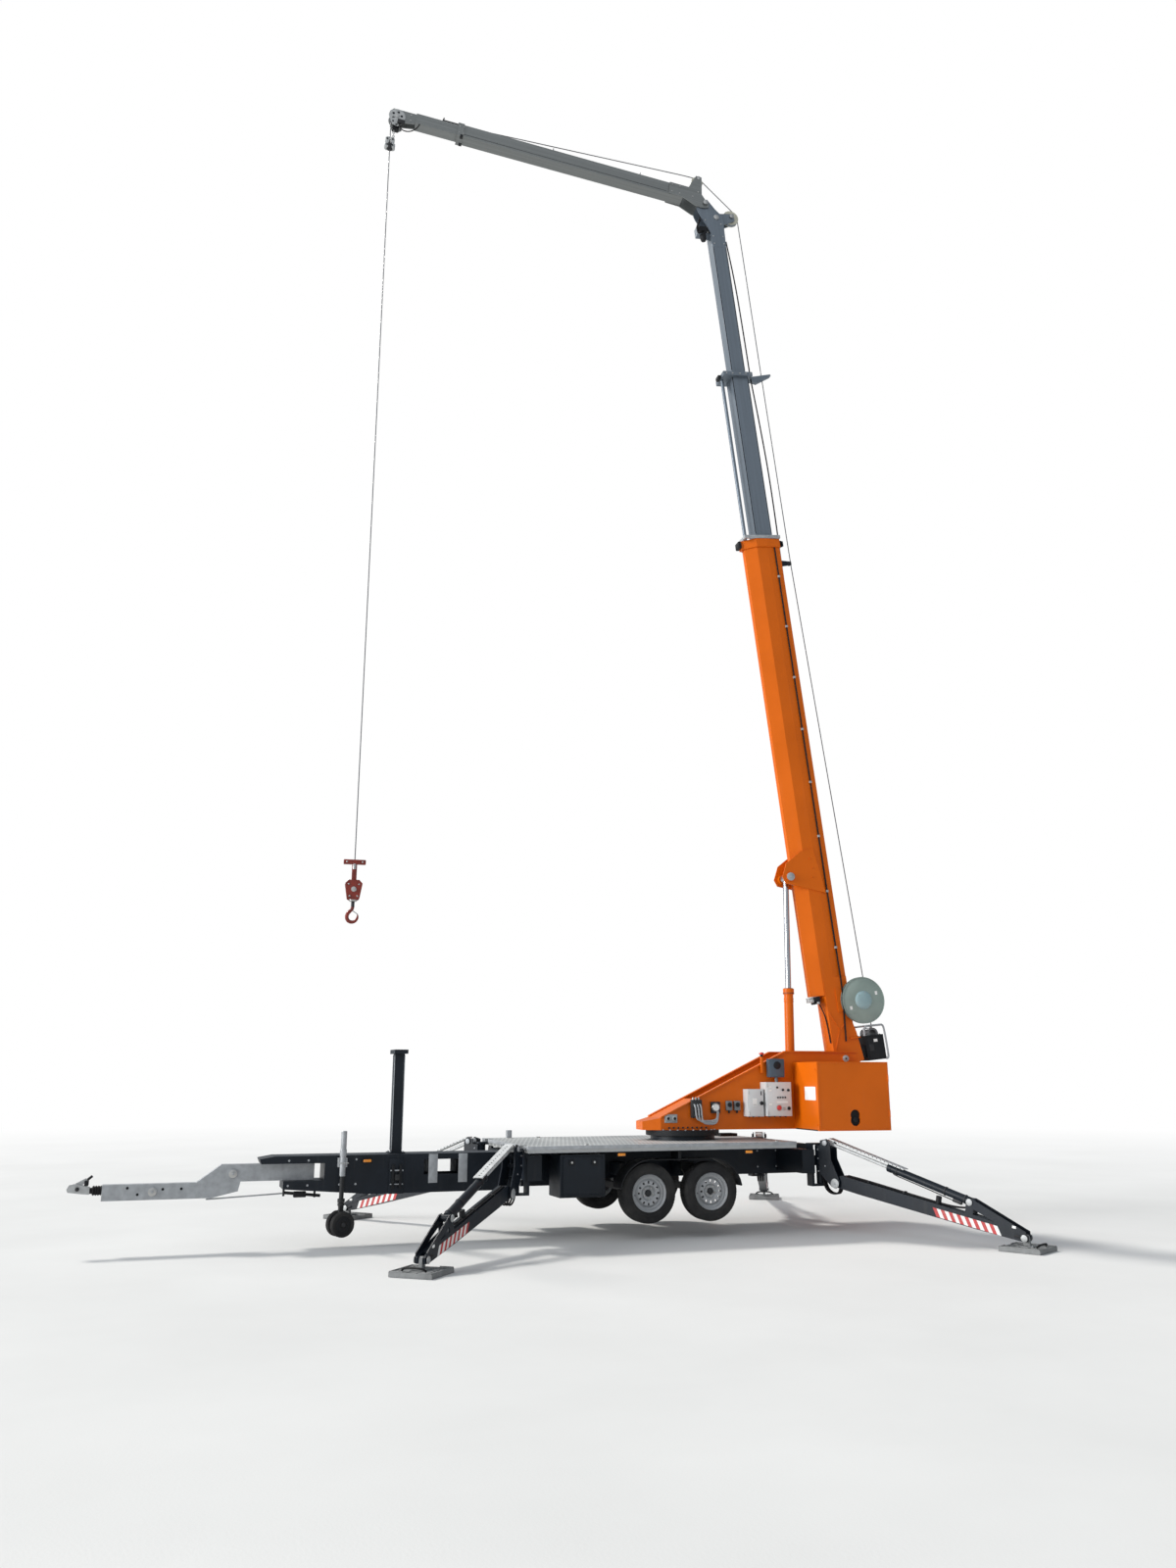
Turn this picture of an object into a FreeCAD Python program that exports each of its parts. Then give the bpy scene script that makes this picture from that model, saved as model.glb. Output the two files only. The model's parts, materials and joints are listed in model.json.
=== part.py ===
# Trailer crane: a telescopic slewing crane on a braked tandem-axle trailer,
# standing on its four outriggers with the boom raised and the jib folded forward.
# Axes: +X towards the drawbar, +Y to the left, +Z up, ground at Z = 0. Millimetres.
import FreeCAD, Part
import os
from math import sin, cos, radians, degrees, atan2, hypot

os.makedirs("parts", exist_ok=True)
V = FreeCAD.Vector

# Clearances
RUN_GAP = 0.05          # shaft in a bore, radial
POST_GAP = 0.5          # outrigger bracket on its swing post, radial
FACE_GAP = 6.0          # faces that slide or swing past each other
WEAR_GAP = 8.0          # telescoping profile inside the next one
SEAT = 0.2              # bolted faces
SKIN = 5.0              # folded sheet

# Wheels and axles
TYRE_R = 315.0
TYRE_W = 185.0
RIM_R = 195.0
WHEEL_Z = 484.0
AXLE_GAP = 742.0
TYRE_OUT_Y = 900.0
SPINDLE_R = 25.0
RIM_SLOTS = 12
AXLE_TUBE = 60.0

# Frame and deck
FRAME_HALF = 200.0
WALL = 14.0             # plate of the box frame
FRAME_TOP = 905.0
FRAME_LOW = 505.0
REAR_LOW = 600.0
FRAME_BACK = -1980.0
FRAME_KNEE = 1700.0
FRAME_NOSE = 4450.0
SLOT_BACK = 3780.0
SLOT_LOW = 654.8
SLOT_TOP = 828.2
WINDOW = (2270.0, 2720.0, 690.0, 845.0)
DECK_TOP = 1000.0
DECK_LOW = 932.0
DECK_HALF = 985.0
DECK_SKIN = 25.0
DECK_FRONT = 1775.0
DECK_BACK = -1400.0
BEAM_END = 840.0        # cross beams that carry the outriggers
BEAM_LOW = 640.0
BEAM_TOP = 900.0
BEAM_DEPTH = 160.0
TAIL_HALF = 640.0       # bar across the tail

# Drawbar, coupling and jockey wheel
BAR_HALF = 60.0
UPPER_BAR = (3870.0, 4640.0, 655.0, 828.0)
LOWER_BAR = (4960.0, 5960.0, 500.0, 655.0)
TIP_X = 6290.0
TUBE_Z = 600.0
TUBE_R = 30.0
JOCKEY_X = 3605.0
JOCKEY_Y = 290.0
JOCKEY_TUBE_R = 30.0
JOCKEY_LEG_R = 24.0
JOCKEY_WHEEL_R = 125.0
JOCKEY_WHEEL_Z = 225.0
JOCKEY_TURN = 14.0
JOCKEY_HALF = 62.0

# Boom rest
REST_X = 3000.0
REST_TOP = 2008.0

# Slewing column
SLEW_X = -420.0
HEADING = -5.0
RING_R = 435.0
SPIGOT_R = 250.0
RING_LOW = 1050.0
TURRET_LOW = 1112.0
PLATE_IN = 230.0
PLATE_T = 20.0
NOSE_U = 345.0
NOSE_TIP_U = 534.0
NOSE_TIP_V = 130.0
NOSE_TIP_TOP = 1208.0
NOSE_TOP = 1250.0
COVER_BACK = -100.0
SILL_U = -1241.0
SILL = 2008.0
TAIL_U = -2240.0
CABINET_FRONT = -1338.0
CABINET_OUT = 940.0
CABINET_TOP = 1885.0

# Boom, in the turret's own plane: u forward of the slewing axis
PIVOT_U = -2040.0
PIVOT_Z = 1935.0
PIVOT_R = 35.0
BOOM_ANGLE = 83.6
BASE_S = (785.0, 6960.0)
BASE_V = 130.0
BASE_WALL = 6.0
BASE_PROFILE = [(-40, -245), (40, -245), (BASE_V, -95), (BASE_V, 55), (110, 245), (-110, 245),
                (-BASE_V, 55), (-BASE_V, -95)]
INNER_T = 45.0          # middle of the inner sections, behind the pivot line
MID_T = 122.0
MID_V = 106.0
MID_END = 9500.0
MID_LEN = 6240.0
TOP_T = 104.0
TOP_V = 85.0
TOP_END = 11850.0
TOP_LEN = 5900.0
TIE_ROD_T = -190.0
TIE_ROD_R = 24.0
TIE_ROD_LEN = 4900.0
LUG_S = 2304.0
LUG_T = 325.0
BARREL_U = -1410.0
BARREL_Z = 1334.0
BARREL_R = 57.0
BARREL_LEN = 1456.0
ROD_R = 35.0
ROD_INSERT = 100.0
EYE_R = 52.0
REEL_R = 288.0
REEL_S = 677.0
REEL_BACK = 396.0
WINCH_S = (-64.0, 239.0)
WINCH_BACK = (363.0, 613.0)
WINCH_V = 150.0

# Knuckle and jib
HINGE_S = 12272.0
HINGE_T = 89.0
HINGE_R = 22.0
TURN_SHEAVE = (12120.0, 320.0, 115.0)
JIB_ANGLE = 5.9
JIB_RISE = 108.0        # middle of the jib profile above the hinge pin
JIB_ROOT = 337.0
JIB_LEN = 3677.0
JIB_B = 95.0
JIB_V = 85.0
ROOT_SHEAVE = (130.0, 400.0, 83.0)
TIP_A = 4517.0
TIP_B = 75.0
SHEAVE_R = 75.0
EXT_END = 4260.0
EXT_LEN = 2300.0
ROPE_R = 5.0
HOOK_LOW = 3434.0
ROPE_LOW = HOOK_LOW + 760.0

# Outriggers: place of the swing axis, heading, reach to the foot pin,
# cylinder pin short of the foot pin, length of the rail over the cylinder
OUTRIGGERS = [
    # name, x, y, heading, reach, pin back, rail
    ("front_left", 1850.0, 760.0, 50.5, 2040.0, 500.0, 260.0),
    ("front_right", 1850.0, -760.0, -50.5, 2040.0, 500.0, 260.0),
    ("rear_left", -1820.0, 760.0, 118.2, 2400.0, 610.0, 350.0),
    ("rear_right", -1820.0, -760.0, -118.2, 2400.0, 610.0, 350.0),
]
SWING_R = 25.0
SWING_LOW = 515.0
SWING_TOP = 950.0
ARM_PIVOT = (240.0, 535.0)
CYL_TOP = (130.0, 975.0)
FOOT_Z = 125.0
PAD_SIDE = 430.0
PAD_T = 40.0
GUSSET_UP = 200.0

# Row origin: bottom centre of the box round the whole crane
REAR = OUTRIGGERS[2]
REAR_TURN = radians(REAR[3])
REAR_PAD = REAR[1] + REAR[4] * cos(REAR_TURN)
REAR_END = REAR_PAD - 0.5 * PAD_SIDE * (abs(sin(REAR_TURN)) + abs(cos(REAR_TURN)))
ORIGIN_X = 0.5 * (TIP_X + REAR_END)


# Shape helpers
def box(x0, x1, y0, y1, z0, z1):
    return Part.makeBox(x1 - x0, y1 - y0, z1 - z0, V(x0, y0, z0))


def rod(r, a, b):
    a = V(*a)
    d = V(*b) - a
    return Part.makeCylinder(r, d.Length, a, d)


def plate(points, y0, y1):
    wire = Part.makePolygon([V(x, y0, z) for x, z in points + points[:1]])
    return Part.Face(wire).extrude(V(0, y1 - y0, 0))


def flat(points, z0, z1):
    wire = Part.makePolygon([V(x, y, z0) for x, y in points + points[:1]])
    return Part.Face(wire).extrude(V(0, 0, z1 - z0))


def pipe(profile, s0, s1, wall):
    # hollow profile of (across, up) points along x
    face = Part.Face(Part.makePolygon([V(s0, y, z) for y, z in profile + profile[:1]]))
    return face.cut(face.makeOffset2D(-wall)).extrude(V(s1 - s0, 0, 0))


def spun(profile, centre, axis):
    # profile of (radius, distance along the axis) turned about the axis
    wire = Part.makePolygon([V(r, 0, h) for r, h in profile + profile[:1]])
    solid = Part.Face(wire).revolve(V(0, 0, 0), V(0, 0, 1), 360)
    turn = FreeCAD.Rotation(V(0, 0, 1), V(*axis))
    solid.Placement = FreeCAD.Placement(V(*centre), turn)
    return solid


def join(shapes):
    whole = shapes[0]
    for extra in shapes[1:]:
        whole = whole.fuse(extra)
    return whole.removeSplitter()


def less(shape, tools):
    for tool in tools:
        shape = shape.cut(tool)
    return shape


def moved(shape, placement):
    out = shape.copy()
    out.Placement = placement.multiply(out.Placement)
    return out


def spin(angle, axis=(0, 0, 1)):
    return FreeCAD.Rotation(V(*axis), angle)


ROW = FreeCAD.Placement(V(-ORIGIN_X, 0, 0), spin(0))
TURRET = ROW.multiply(FreeCAD.Placement(V(SLEW_X, 0, 0), spin(HEADING)))
PARTS = []


def keep(name, shape, placement=ROW):
    shape = moved(shape, placement)
    shape.exportStep("parts/%s.step" % name)
    PARTS.append((name, shape))


def point(name, placement, xyz):
    p = placement.multVec(V(*xyz))
    print("POINT %s %.4f %.4f %.4f" % (name, p.x / 1000, p.y / 1000, p.z / 1000))


# Chassis frame
def frame():
    front = plate([(FRAME_KNEE, FRAME_TOP), (FRAME_NOSE - 150, FRAME_TOP), (FRAME_NOSE, 880),
                   (FRAME_NOSE - 20, SLOT_TOP + 3), (SLOT_BACK, SLOT_TOP), (SLOT_BACK, SLOT_LOW),
                   (4200, SLOT_LOW), (4200, 575), (3300, FRAME_LOW), (FRAME_KNEE, FRAME_LOW)],
                  -FRAME_HALF, FRAME_HALF)
    inner = box(WINDOW[0], WINDOW[1], -FRAME_HALF - 1, FRAME_HALF + 1, WINDOW[2], WINDOW[3])
    front = less(front, [inner,
                         plate([(FRAME_KNEE - 5, FRAME_TOP - WALL), (FRAME_NOSE - 160, FRAME_TOP - WALL),
                                (FRAME_NOSE - 160, SLOT_TOP + WALL), (SLOT_BACK - WALL, SLOT_TOP + WALL),
                                (SLOT_BACK - WALL, SLOT_LOW - WALL), (4100, SLOT_LOW - WALL),
                                (4100, 590), (3300, FRAME_LOW + WALL), (FRAME_KNEE - 5, FRAME_LOW + WALL)],
                               -FRAME_HALF + WALL, FRAME_HALF - WALL)])
    top = DECK_LOW - SEAT
    back = box(FRAME_BACK, FRAME_KNEE, -FRAME_HALF, FRAME_HALF, REAR_LOW, top)
    back = back.cut(box(FRAME_BACK + WALL, FRAME_KNEE - WALL, -FRAME_HALF + WALL, FRAME_HALF - WALL,
                        REAR_LOW + WALL, top - WALL))
    parts = [front, back, box(FRAME_BACK - 40, FRAME_BACK, -TAIL_HALF, TAIL_HALF, 690, 800)]
    parts.append(Part.makeCylinder(380, RING_LOW - FACE_GAP - 900, V(SLEW_X, 0, 900)))
    parts.append(Part.makeCylinder(SPIGOT_R, RING_LOW + 20 - 900, V(SLEW_X, 0, 900)))
    for x in (AXLE_GAP / 2, -AXLE_GAP / 2):
        for side in (-1, 1):
            y0, y1 = sorted((side * 180, side * 500))
            parts.append(box(x + 60, x + 200, y0, y1, 640, 780))
    return join(parts)


def cross_beams(x, way):
    # one hollow beam, two lugs and a swing post on each side of the frame
    out = []
    inside = x - way * 110
    lo, hi = sorted((inside, inside - way * BEAM_DEPTH))
    for side in (-1, 1):
        y0, y1 = sorted((side * (FRAME_HALF + SEAT), side * BEAM_END))
        beam = box(lo, hi, y0, y1, BEAM_LOW, BEAM_TOP)
        hollow = box(lo + WALL, hi - WALL, y0 + WALL, y1 - WALL, BEAM_LOW + WALL, BEAM_TOP - WALL)
        parts = [beam.cut(hollow)]
        for z0, z1 in ((SWING_LOW - 20, SWING_LOW), (SWING_TOP, SWING_TOP + 18)):
            lug = Part.makeCylinder(62, z1 - z0, V(x, side * 760, z0))
            a, b = sorted((x, inside - way * 20))
            parts.append(lug.fuse(box(a, b, side * 760 - 62, side * 760 + 62, z0, z1)))
        a, b = sorted((inside, inside - way * 30))
        parts.append(box(a, b, side * 760 - 62, side * 760 + 62, SWING_LOW - 20, SWING_TOP + 18))
        parts.append(rod(SWING_R, (x, side * 760, SWING_LOW - 10), (x, side * 760, SWING_TOP + 10)))
        out.append(join(parts))
    return Part.makeCompound(out)


def deck():
    top = box(DECK_BACK, DECK_FRONT, -DECK_HALF, DECK_HALF, DECK_LOW, DECK_TOP)
    cuts = [Part.makeCylinder(390, 200, V(SLEW_X, 0, 850))]
    for side in (-1, 1):
        cuts.append(box(1700, DECK_FRONT + 1, side * 760 - 70, side * 760 + 70, DECK_LOW - 1, DECK_TOP + 1))
    bays = [-1370.0, -860.0, 20.0, 580.0, 1160.0, 1745.0]
    for x0, x1 in zip(bays[:-1], bays[1:]):
        for side in (-1, 1):
            for y0, y1 in ((FRAME_HALF + 20, 560), (600, DECK_HALF - 30)):
                a, b = sorted((side * y0, side * y1))
                if x0 == -860.0:
                    a, b = sorted((side * max(y0, 430.0), side * y1))
                cuts.append(box(x0 + 20, x1 - 20, a, b, DECK_LOW - 1, DECK_TOP - DECK_SKIN))
    return less(top, cuts)


def drawbar():
    upper = box(UPPER_BAR[0], UPPER_BAR[1], -BAR_HALF, BAR_HALF, UPPER_BAR[2], UPPER_BAR[3])
    lower = box(LOWER_BAR[0], LOWER_BAR[1], -BAR_HALF, BAR_HALF, LOWER_BAR[2], LOWER_BAR[3])
    crank = plate([(4620, 655), (4560, 828), (4820, 828), (5060, 655), (5060, 500), (4900, 500), (4640, 560)],
                  -BAR_HALF, BAR_HALF)
    pins = [rod(48, (5480, -BAR_HALF - 14, 578), (5480, BAR_HALF + 14, 578)),
            rod(48, (4700, -BAR_HALF - 14, 735), (4700, BAR_HALF + 14, 735))]
    return join([upper, crank, lower] + pins)


def overrun_tube():
    tube = rod(TUBE_R, (LOWER_BAR[1] + SEAT, 0, TUBE_Z), (6075 - SEAT, 0, TUBE_Z))
    rings = [(TUBE_R - 1, 0)]
    for k in range(4):
        rings += [(50, 8 + 24 * k), (40, 20 + 24 * k)]
    rings += [(TUBE_R - 1, 94)]
    return join([tube, spun(rings, (LOWER_BAR[1] + SEAT, 0, TUBE_Z), (1, 0, 0))])


def coupling():
    body = plate([(6075, 566), (6075, 636), (6150, 655), (6230, 668), (TIP_X - 20, 660),
                  (TIP_X, 620), (TIP_X - 12, 590), (6160, 574)], -42, 42)
    lever = plate([(6150, 650), (6215, 672), (6120, 722), (6100, 708)], -12, 12)
    return join([body, lever])


def jockey_tube():
    tube = less(rod(JOCKEY_TUBE_R, (JOCKEY_X, JOCKEY_Y, 700), (JOCKEY_X, JOCKEY_Y, 1150)),
                [rod(JOCKEY_LEG_R + RUN_GAP, (JOCKEY_X, JOCKEY_Y, 690), (JOCKEY_X, JOCKEY_Y, 1120))])
    clamp = less(box(JOCKEY_X - 45, JOCKEY_X + 45, FRAME_HALF, JOCKEY_Y + 10, 790, 880),
                 [rod(JOCKEY_TUBE_R - 2, (JOCKEY_X, JOCKEY_Y, 690), (JOCKEY_X, JOCKEY_Y, 1160))])
    return join([tube, clamp])


def jockey_leg():
    leg = rod(JOCKEY_LEG_R, (JOCKEY_X, JOCKEY_Y, 470), (JOCKEY_X, JOCKEY_Y, 1000))
    cap = rod(38, (JOCKEY_X, JOCKEY_Y, 440), (JOCKEY_X, JOCKEY_Y, 475))
    pin = rod(12, (JOCKEY_X, JOCKEY_Y, 408), (JOCKEY_X, JOCKEY_Y, 450))
    return join([leg, cap, pin])


def jockey_fork():
    head = rod(36, (0, 0, 405), (0, 0, 434))
    strut = box(-22, 22, -20, 20, 190, 410)
    axle = rod(10, (0, -JOCKEY_HALF - 34, JOCKEY_WHEEL_Z), (0, JOCKEY_HALF + 34, JOCKEY_WHEEL_Z))
    whole = join([head, strut, axle])
    return whole.cut(rod(12 + RUN_GAP, (0, 0, 400), (0, 0, 450)))


def jockey_wheels():
    out = []
    for side in (-1, 1):
        y = side * JOCKEY_HALF
        wheel = [(10 + RUN_GAP, -28), (116, -28), (125, -18), (125, 18), (116, 28), (10 + RUN_GAP, 28)]
        out.append(spun(wheel, (0, y, JOCKEY_WHEEL_Z), (0, 1, 0)))
    return out


def boom_rest():
    post = box(REST_X - 55, REST_X + 55, -50, 50, FRAME_TOP, REST_TOP - 40)
    cup = plate([(REST_X - 75, REST_TOP), (REST_X - 75, REST_TOP - 45), (REST_X + 75, REST_TOP - 45),
                 (REST_X + 75, REST_TOP)], -150, 150)
    foot = box(REST_X - 90, REST_X + 90, -90, 90, FRAME_TOP, FRAME_TOP + 15)
    return join([post, cup, foot])


# Wheels
def tyre(x, side):
    h = TYRE_W / 2
    wire = [(RIM_R - 14, -h + 14), (RIM_R + 45, -h), (TYRE_R - 12, -h + 10), (TYRE_R, -h + 34),
            (TYRE_R, h - 34), (TYRE_R - 12, h - 10), (RIM_R + 45, h), (RIM_R - 14, h - 14)]
    return spun(wire, (x, side * (TYRE_OUT_Y - h), WHEEL_Z), (0, side, 0))


def rim(x, side):
    h = TYRE_W / 2
    e = RIM_R - 14
    barrel = spun([(e, -h + 14), (e, h - 14), (RIM_R - 2, h - 2), (e - 7, h - 16), (e - 7, h - 40), (150, h - 46),
                   (126, h - 26), (84, h - 28), (62, h - 46), (SPINDLE_R + RUN_GAP, h - 46),
                   (SPINDLE_R + RUN_GAP, h - 120), (55, h - 120), (72, h - 52), (126, h - 36), (e - 7, h - 60),
                   (e - 7, -h + 14)], (0, 0, 0), (0, 0, 1))
    slots = []
    for k in range(RIM_SLOTS):
        slot = box(100, 126, -10, 10, h - 70, h)
        slot.rotate(V(0, 0, 0), V(0, 0, 1), 360.0 * k / RIM_SLOTS)
        slots.append(slot)
    barrel = less(barrel, slots)
    turn = FreeCAD.Rotation(V(0, 0, 1), V(0, side, 0))
    barrel.Placement = FreeCAD.Placement(V(x, side * (TYRE_OUT_Y - h), WHEEL_Z), turn)
    return barrel


def axles():
    out = []
    for x in (AXLE_GAP / 2, -AXLE_GAP / 2):
        beam = box(x - 30, x + 30, -560, 560, WHEEL_Z - 35, WHEEL_Z + 35)
        parts = [beam]
        for side in (-1, 1):
            y0, y1 = sorted((side * (500 + SEAT), side * 555))
            parts.append(plate([(x - 45, WHEEL_Z - 45), (x + 45, WHEEL_Z - 45), (x + 200, 700), (x + 200, 780),
                                (x + 60, 780), (x - 45, WHEEL_Z + 50)], y0, y1))
            parts.append(rod(90, (x, side * 555, WHEEL_Z), (x, side * 680, WHEEL_Z)))
            parts.append(rod(SPINDLE_R, (x, side * 600, WHEEL_Z), (x, side * 862, WHEEL_Z)))
        out.append(join(parts))
    return out


def mudguards():
    out = []
    for side in (-1, 1):
        r = TYRE_R + 42
        y0, y1 = sorted((side * 690, side * 950))
        x = AXLE_GAP / 2
        arc = []
        for k in range(9):
            a = radians(10 + k * 90 / 8)
            arc.append((x + r * cos(a), WHEEL_Z + r * sin(a)))
        left = [(-px, pz) for px, pz in reversed(arc)]
        outer = arc + left
        inner = [(px * (1 - 8 / abs(px)) if abs(px) > 200 else px, pz - 8) for px, pz in outer]
        strip = plate(outer + list(reversed(inner)), y0, y1)
        y2, y3 = sorted((side * 720, side * 930))
        out.append(join([strip, box(2, 38, y2, y3, WHEEL_Z + r - 22, DECK_LOW - SEAT)]))
    return out


def boxes():
    out = []
    for side in (-1, 1):
        y0, y1 = sorted((side * 560, side * 950))
        body = box(905, 1410, y0, y1, 470, 905)
        lid0, lid1 = sorted((side * 950, side * 962))
        door = box(930, 1385, lid0, lid1, 490, 885)
        y2, y3 = sorted((side * FRAME_HALF, side * 562))
        out.append(join([body, door, box(1000, 1060, y2, y3, 820, 900), box(1250, 1310, y2, y3, 820, 900)]))
    return out


# Outriggers, each in its own plane: x outward from the swing axis
def bracket():
    tube = Part.makeCylinder(44, SWING_TOP - SWING_LOW - 2 * FACE_GAP, V(0, 0, SWING_LOW + FACE_GAP))
    sides = []
    for v in (-78, 66):
        # stepped at the back to swing clear of the upper lug
        sides.append(plate([(-10, SWING_TOP - FACE_GAP), (62, SWING_TOP - FACE_GAP), (62, 1000), (150, 1020),
                            (190, 975), (190, 800), (300, 560), (290, 500), (240, 478), (190, 500), (40, 640),
                            (-10, 760)], v, v + 12))
    webs = [box(-10, 60, -70, 70, 780, 820), box(-10, 50, -70, 70, 860, 900), box(0, 60, -70, 70, 660, 690)]
    pins = [rod(22, (ARM_PIVOT[0], -84, ARM_PIVOT[1]), (ARM_PIVOT[0], 84, ARM_PIVOT[1]))]
    stubs = [rod(26, (CYL_TOP[0], 66, CYL_TOP[1]), (CYL_TOP[0], 88, CYL_TOP[1])),
             rod(26, (CYL_TOP[0], -88, CYL_TOP[1]), (CYL_TOP[0], -66, CYL_TOP[1]))]
    whole = join([tube] + sides + webs + pins + stubs)
    return whole.cut(rod(SWING_R + POST_GAP, (0, 0, 400), (0, 0, 1100)))


def arm_frame(reach):
    dx = reach - ARM_PIVOT[0]
    dz = FOOT_Z - ARM_PIVOT[1]
    return hypot(dx, dz), degrees(atan2(dz, dx))


def arm_place(reach):
    return FreeCAD.Placement(V(ARM_PIVOT[0], 0, ARM_PIVOT[1]), spin(-arm_frame(reach)[1], (0, 1, 0)))


def arm(reach, back):
    n = arm_frame(reach)[0]
    body = plate([(-45, 30), (-40, -30), (20, -44), (300, -50), (n - 520, -50), (n - 40, -40), (n + 30, -28),
                  (n + 30, 28), (n - 60, 45), (n - 520, 80), (300, 95), (60, 100), (-20, 60)], -52, 52)
    # lever of two plates over the arm, with a window behind the cylinder's pin
    head = n - back
    fork = []
    for v in (-60, 48):
        lever = plate([(head - 38, 62), (head - 38, 190), (head - 28, GUSSET_UP + 32), (head + 20, GUSSET_UP + 38),
                       (n + 5, 62), (n + 10, 30), (head + 300, 45)], v, v + 12)
        fork.append(lever.cut(plate([(head + 48, 88), (head + 48, 140), (head + 290, 72)], v - 1, v + 13)))
    pin = rod(20, (head, -66, GUSSET_UP), (head, 66, GUSSET_UP))
    bore = rod(22 + RUN_GAP, (0, -90, 0), (0, 90, 0))
    slot = box(n - 70, n + 80, -24, 24, -80, 80)
    foot = rod(16, (n, -62, 0), (n, 62, 0))
    whole = join([body] + fork + [pin])
    whole = less(whole, [bore, slot])
    return join([whole, foot])


def cyl_frame(reach, back):
    low = arm_place(reach).multVec(V(arm_frame(reach)[0] - back, 0, GUSSET_UP))
    dx = CYL_TOP[0] - low.x
    dz = CYL_TOP[1] - low.z
    return low, hypot(dx, dz), degrees(atan2(dz, dx))


def cyl_place(reach, back):
    low, length, angle = cyl_frame(reach, back)
    return FreeCAD.Placement(low, spin(-angle, (0, 1, 0)))


def cyl_barrel(length):
    eye = rod(34, (0, -40, 0), (0, 40, 0))
    tube = rod(42, (20, 0, 0), (length * 0.56, 0, 0))
    tube = tube.cut(rod(34, (60, 0, 0), (length * 0.56 - 40, 0, 0)))
    tube = tube.cut(rod(20 + RUN_GAP, (50, 0, 0), (length, 0, 0)))
    collar = [(20 + RUN_GAP, 0), (46, 0), (46, 45), (20 + RUN_GAP, 45)]
    gland = spun(collar, (length * 0.56 - 50, 0, 0), (1, 0, 0))
    whole = join([eye, tube, gland])
    return whole.cut(rod(20 + RUN_GAP, (0, -80, 0), (0, 80, 0)))


def cyl_rod(length, rail_len):
    eye = rod(34, (length, -40, 0), (length, 40, 0)).cut(rod(30, (length, -50, 0), (length, 50, 0)))
    bar = rod(20, (length * 0.44, 0, 0), (length - 31, 0, 0))
    start = length * 0.64 - rail_len
    # the rail lies over the rod and, closed, over the barrel
    rail = box(start, length - 20, -50, 50, -60, -52)
    side = [box(start, length - 20, v, v + 5, -60, -46) for v in (-50, 45)]
    post = box(length - 60, length - 28, -20, 20, -56, 0)
    return join([eye, bar, rail, post] + side)


def pad():
    base = box(-PAD_SIDE / 2, PAD_SIDE / 2, -PAD_SIDE / 2, PAD_SIDE / 2, 0, PAD_T)
    plinth = box(-90, 90, -70, 70, PAD_T - 1, PAD_T + 12)
    ear = plate([(-34, PAD_T + 10), (34, PAD_T + 10), (26, FOOT_Z + 16), (10, FOOT_Z + 30), (-10, FOOT_Z + 30),
                 (-26, FOOT_Z + 16)], -17, 17)
    whole = join([base, plinth, ear])
    return whole.cut(rod(16 + RUN_GAP, (0, -60, FOOT_Z), (0, 60, FOOT_Z)))


# Turret, in the boom's plane: x is u, y is across, z is up
def slew_ring():
    ring = Part.makeCylinder(RING_R, TURRET_LOW - RING_LOW, V(0, 0, RING_LOW))
    return ring.cut(Part.makeCylinder(SPIGOT_R + RUN_GAP, 26, V(0, 0, RING_LOW - 1)))


def turret_nose():
    # wedge that narrows towards the front and falls off at the top
    outer = PLATE_IN + PLATE_T
    nose = flat([(NOSE_U, -outer), (NOSE_TIP_U, -NOSE_TIP_V), (NOSE_TIP_U, NOSE_TIP_V), (NOSE_U, outer)],
                TURRET_LOW, NOSE_TOP)
    fall = plate([(NOSE_U, NOSE_TOP), (NOSE_TIP_U + 1, NOSE_TIP_TOP), (NOSE_TIP_U + 1, NOSE_TOP + 1),
                  (NOSE_U, NOSE_TOP + 1)], -outer - 1, outer + 1)
    return nose.cut(fall)


def turret_frame():
    rise = (SILL - NOSE_TOP) / (NOSE_U - SILL_U)
    outline = [(NOSE_U, TURRET_LOW), (NOSE_U, NOSE_TOP), (SILL_U, SILL), (TAIL_U + 40, SILL), (TAIL_U, 1950),
               (TAIL_U, TURRET_LOW)]
    lip = [(NOSE_U, NOSE_TOP), (SILL_U, SILL), (TAIL_U + 40, SILL), (TAIL_U + 40, SILL + 15),
           (SILL_U, SILL + 15), (NOSE_U, NOSE_TOP + 16)]
    parts = [turret_nose()]
    for v in (-PLATE_IN - PLATE_T, PLATE_IN):
        parts.append(plate(outline, v, v + PLATE_T))
        parts.append(plate(lip, v - 20, v + PLATE_T + 20))
    parts.append(box(TAIL_U, NOSE_U, -PLATE_IN, PLATE_IN, TURRET_LOW, TURRET_LOW + 20))
    parts.append(box(TAIL_U, TAIL_U + 20, -PLATE_IN, PLATE_IN, TURRET_LOW, 1500))
    cover_top = NOSE_TOP + rise * (NOSE_U - COVER_BACK)
    parts.append(plate([(NOSE_U, NOSE_TOP), (COVER_BACK, cover_top), (COVER_BACK, cover_top - 14),
                        (NOSE_U, NOSE_TOP - 14)], -PLATE_IN, PLATE_IN))
    parts.append(box(COVER_BACK, COVER_BACK + 14, -PLATE_IN, PLATE_IN, TURRET_LOW, cover_top - 8))
    for side in (-1, 1):
        a, b = sorted((side * (PLATE_IN + PLATE_T), side * (PLATE_IN + PLATE_T + 12)))
        parts.append(rod(48, (PIVOT_U, a, PIVOT_Z), (PIVOT_U, b, PIVOT_Z)))
    parts.append(rod(PIVOT_R, (PIVOT_U, -PLATE_IN - 30, PIVOT_Z), (PIVOT_U, PLATE_IN + 30, PIVOT_Z)))
    parts.append(rod(30, (BARREL_U, -PLATE_IN - 5, BARREL_Z), (BARREL_U, PLATE_IN + 5, BARREL_Z)))
    return join(parts)


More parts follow.
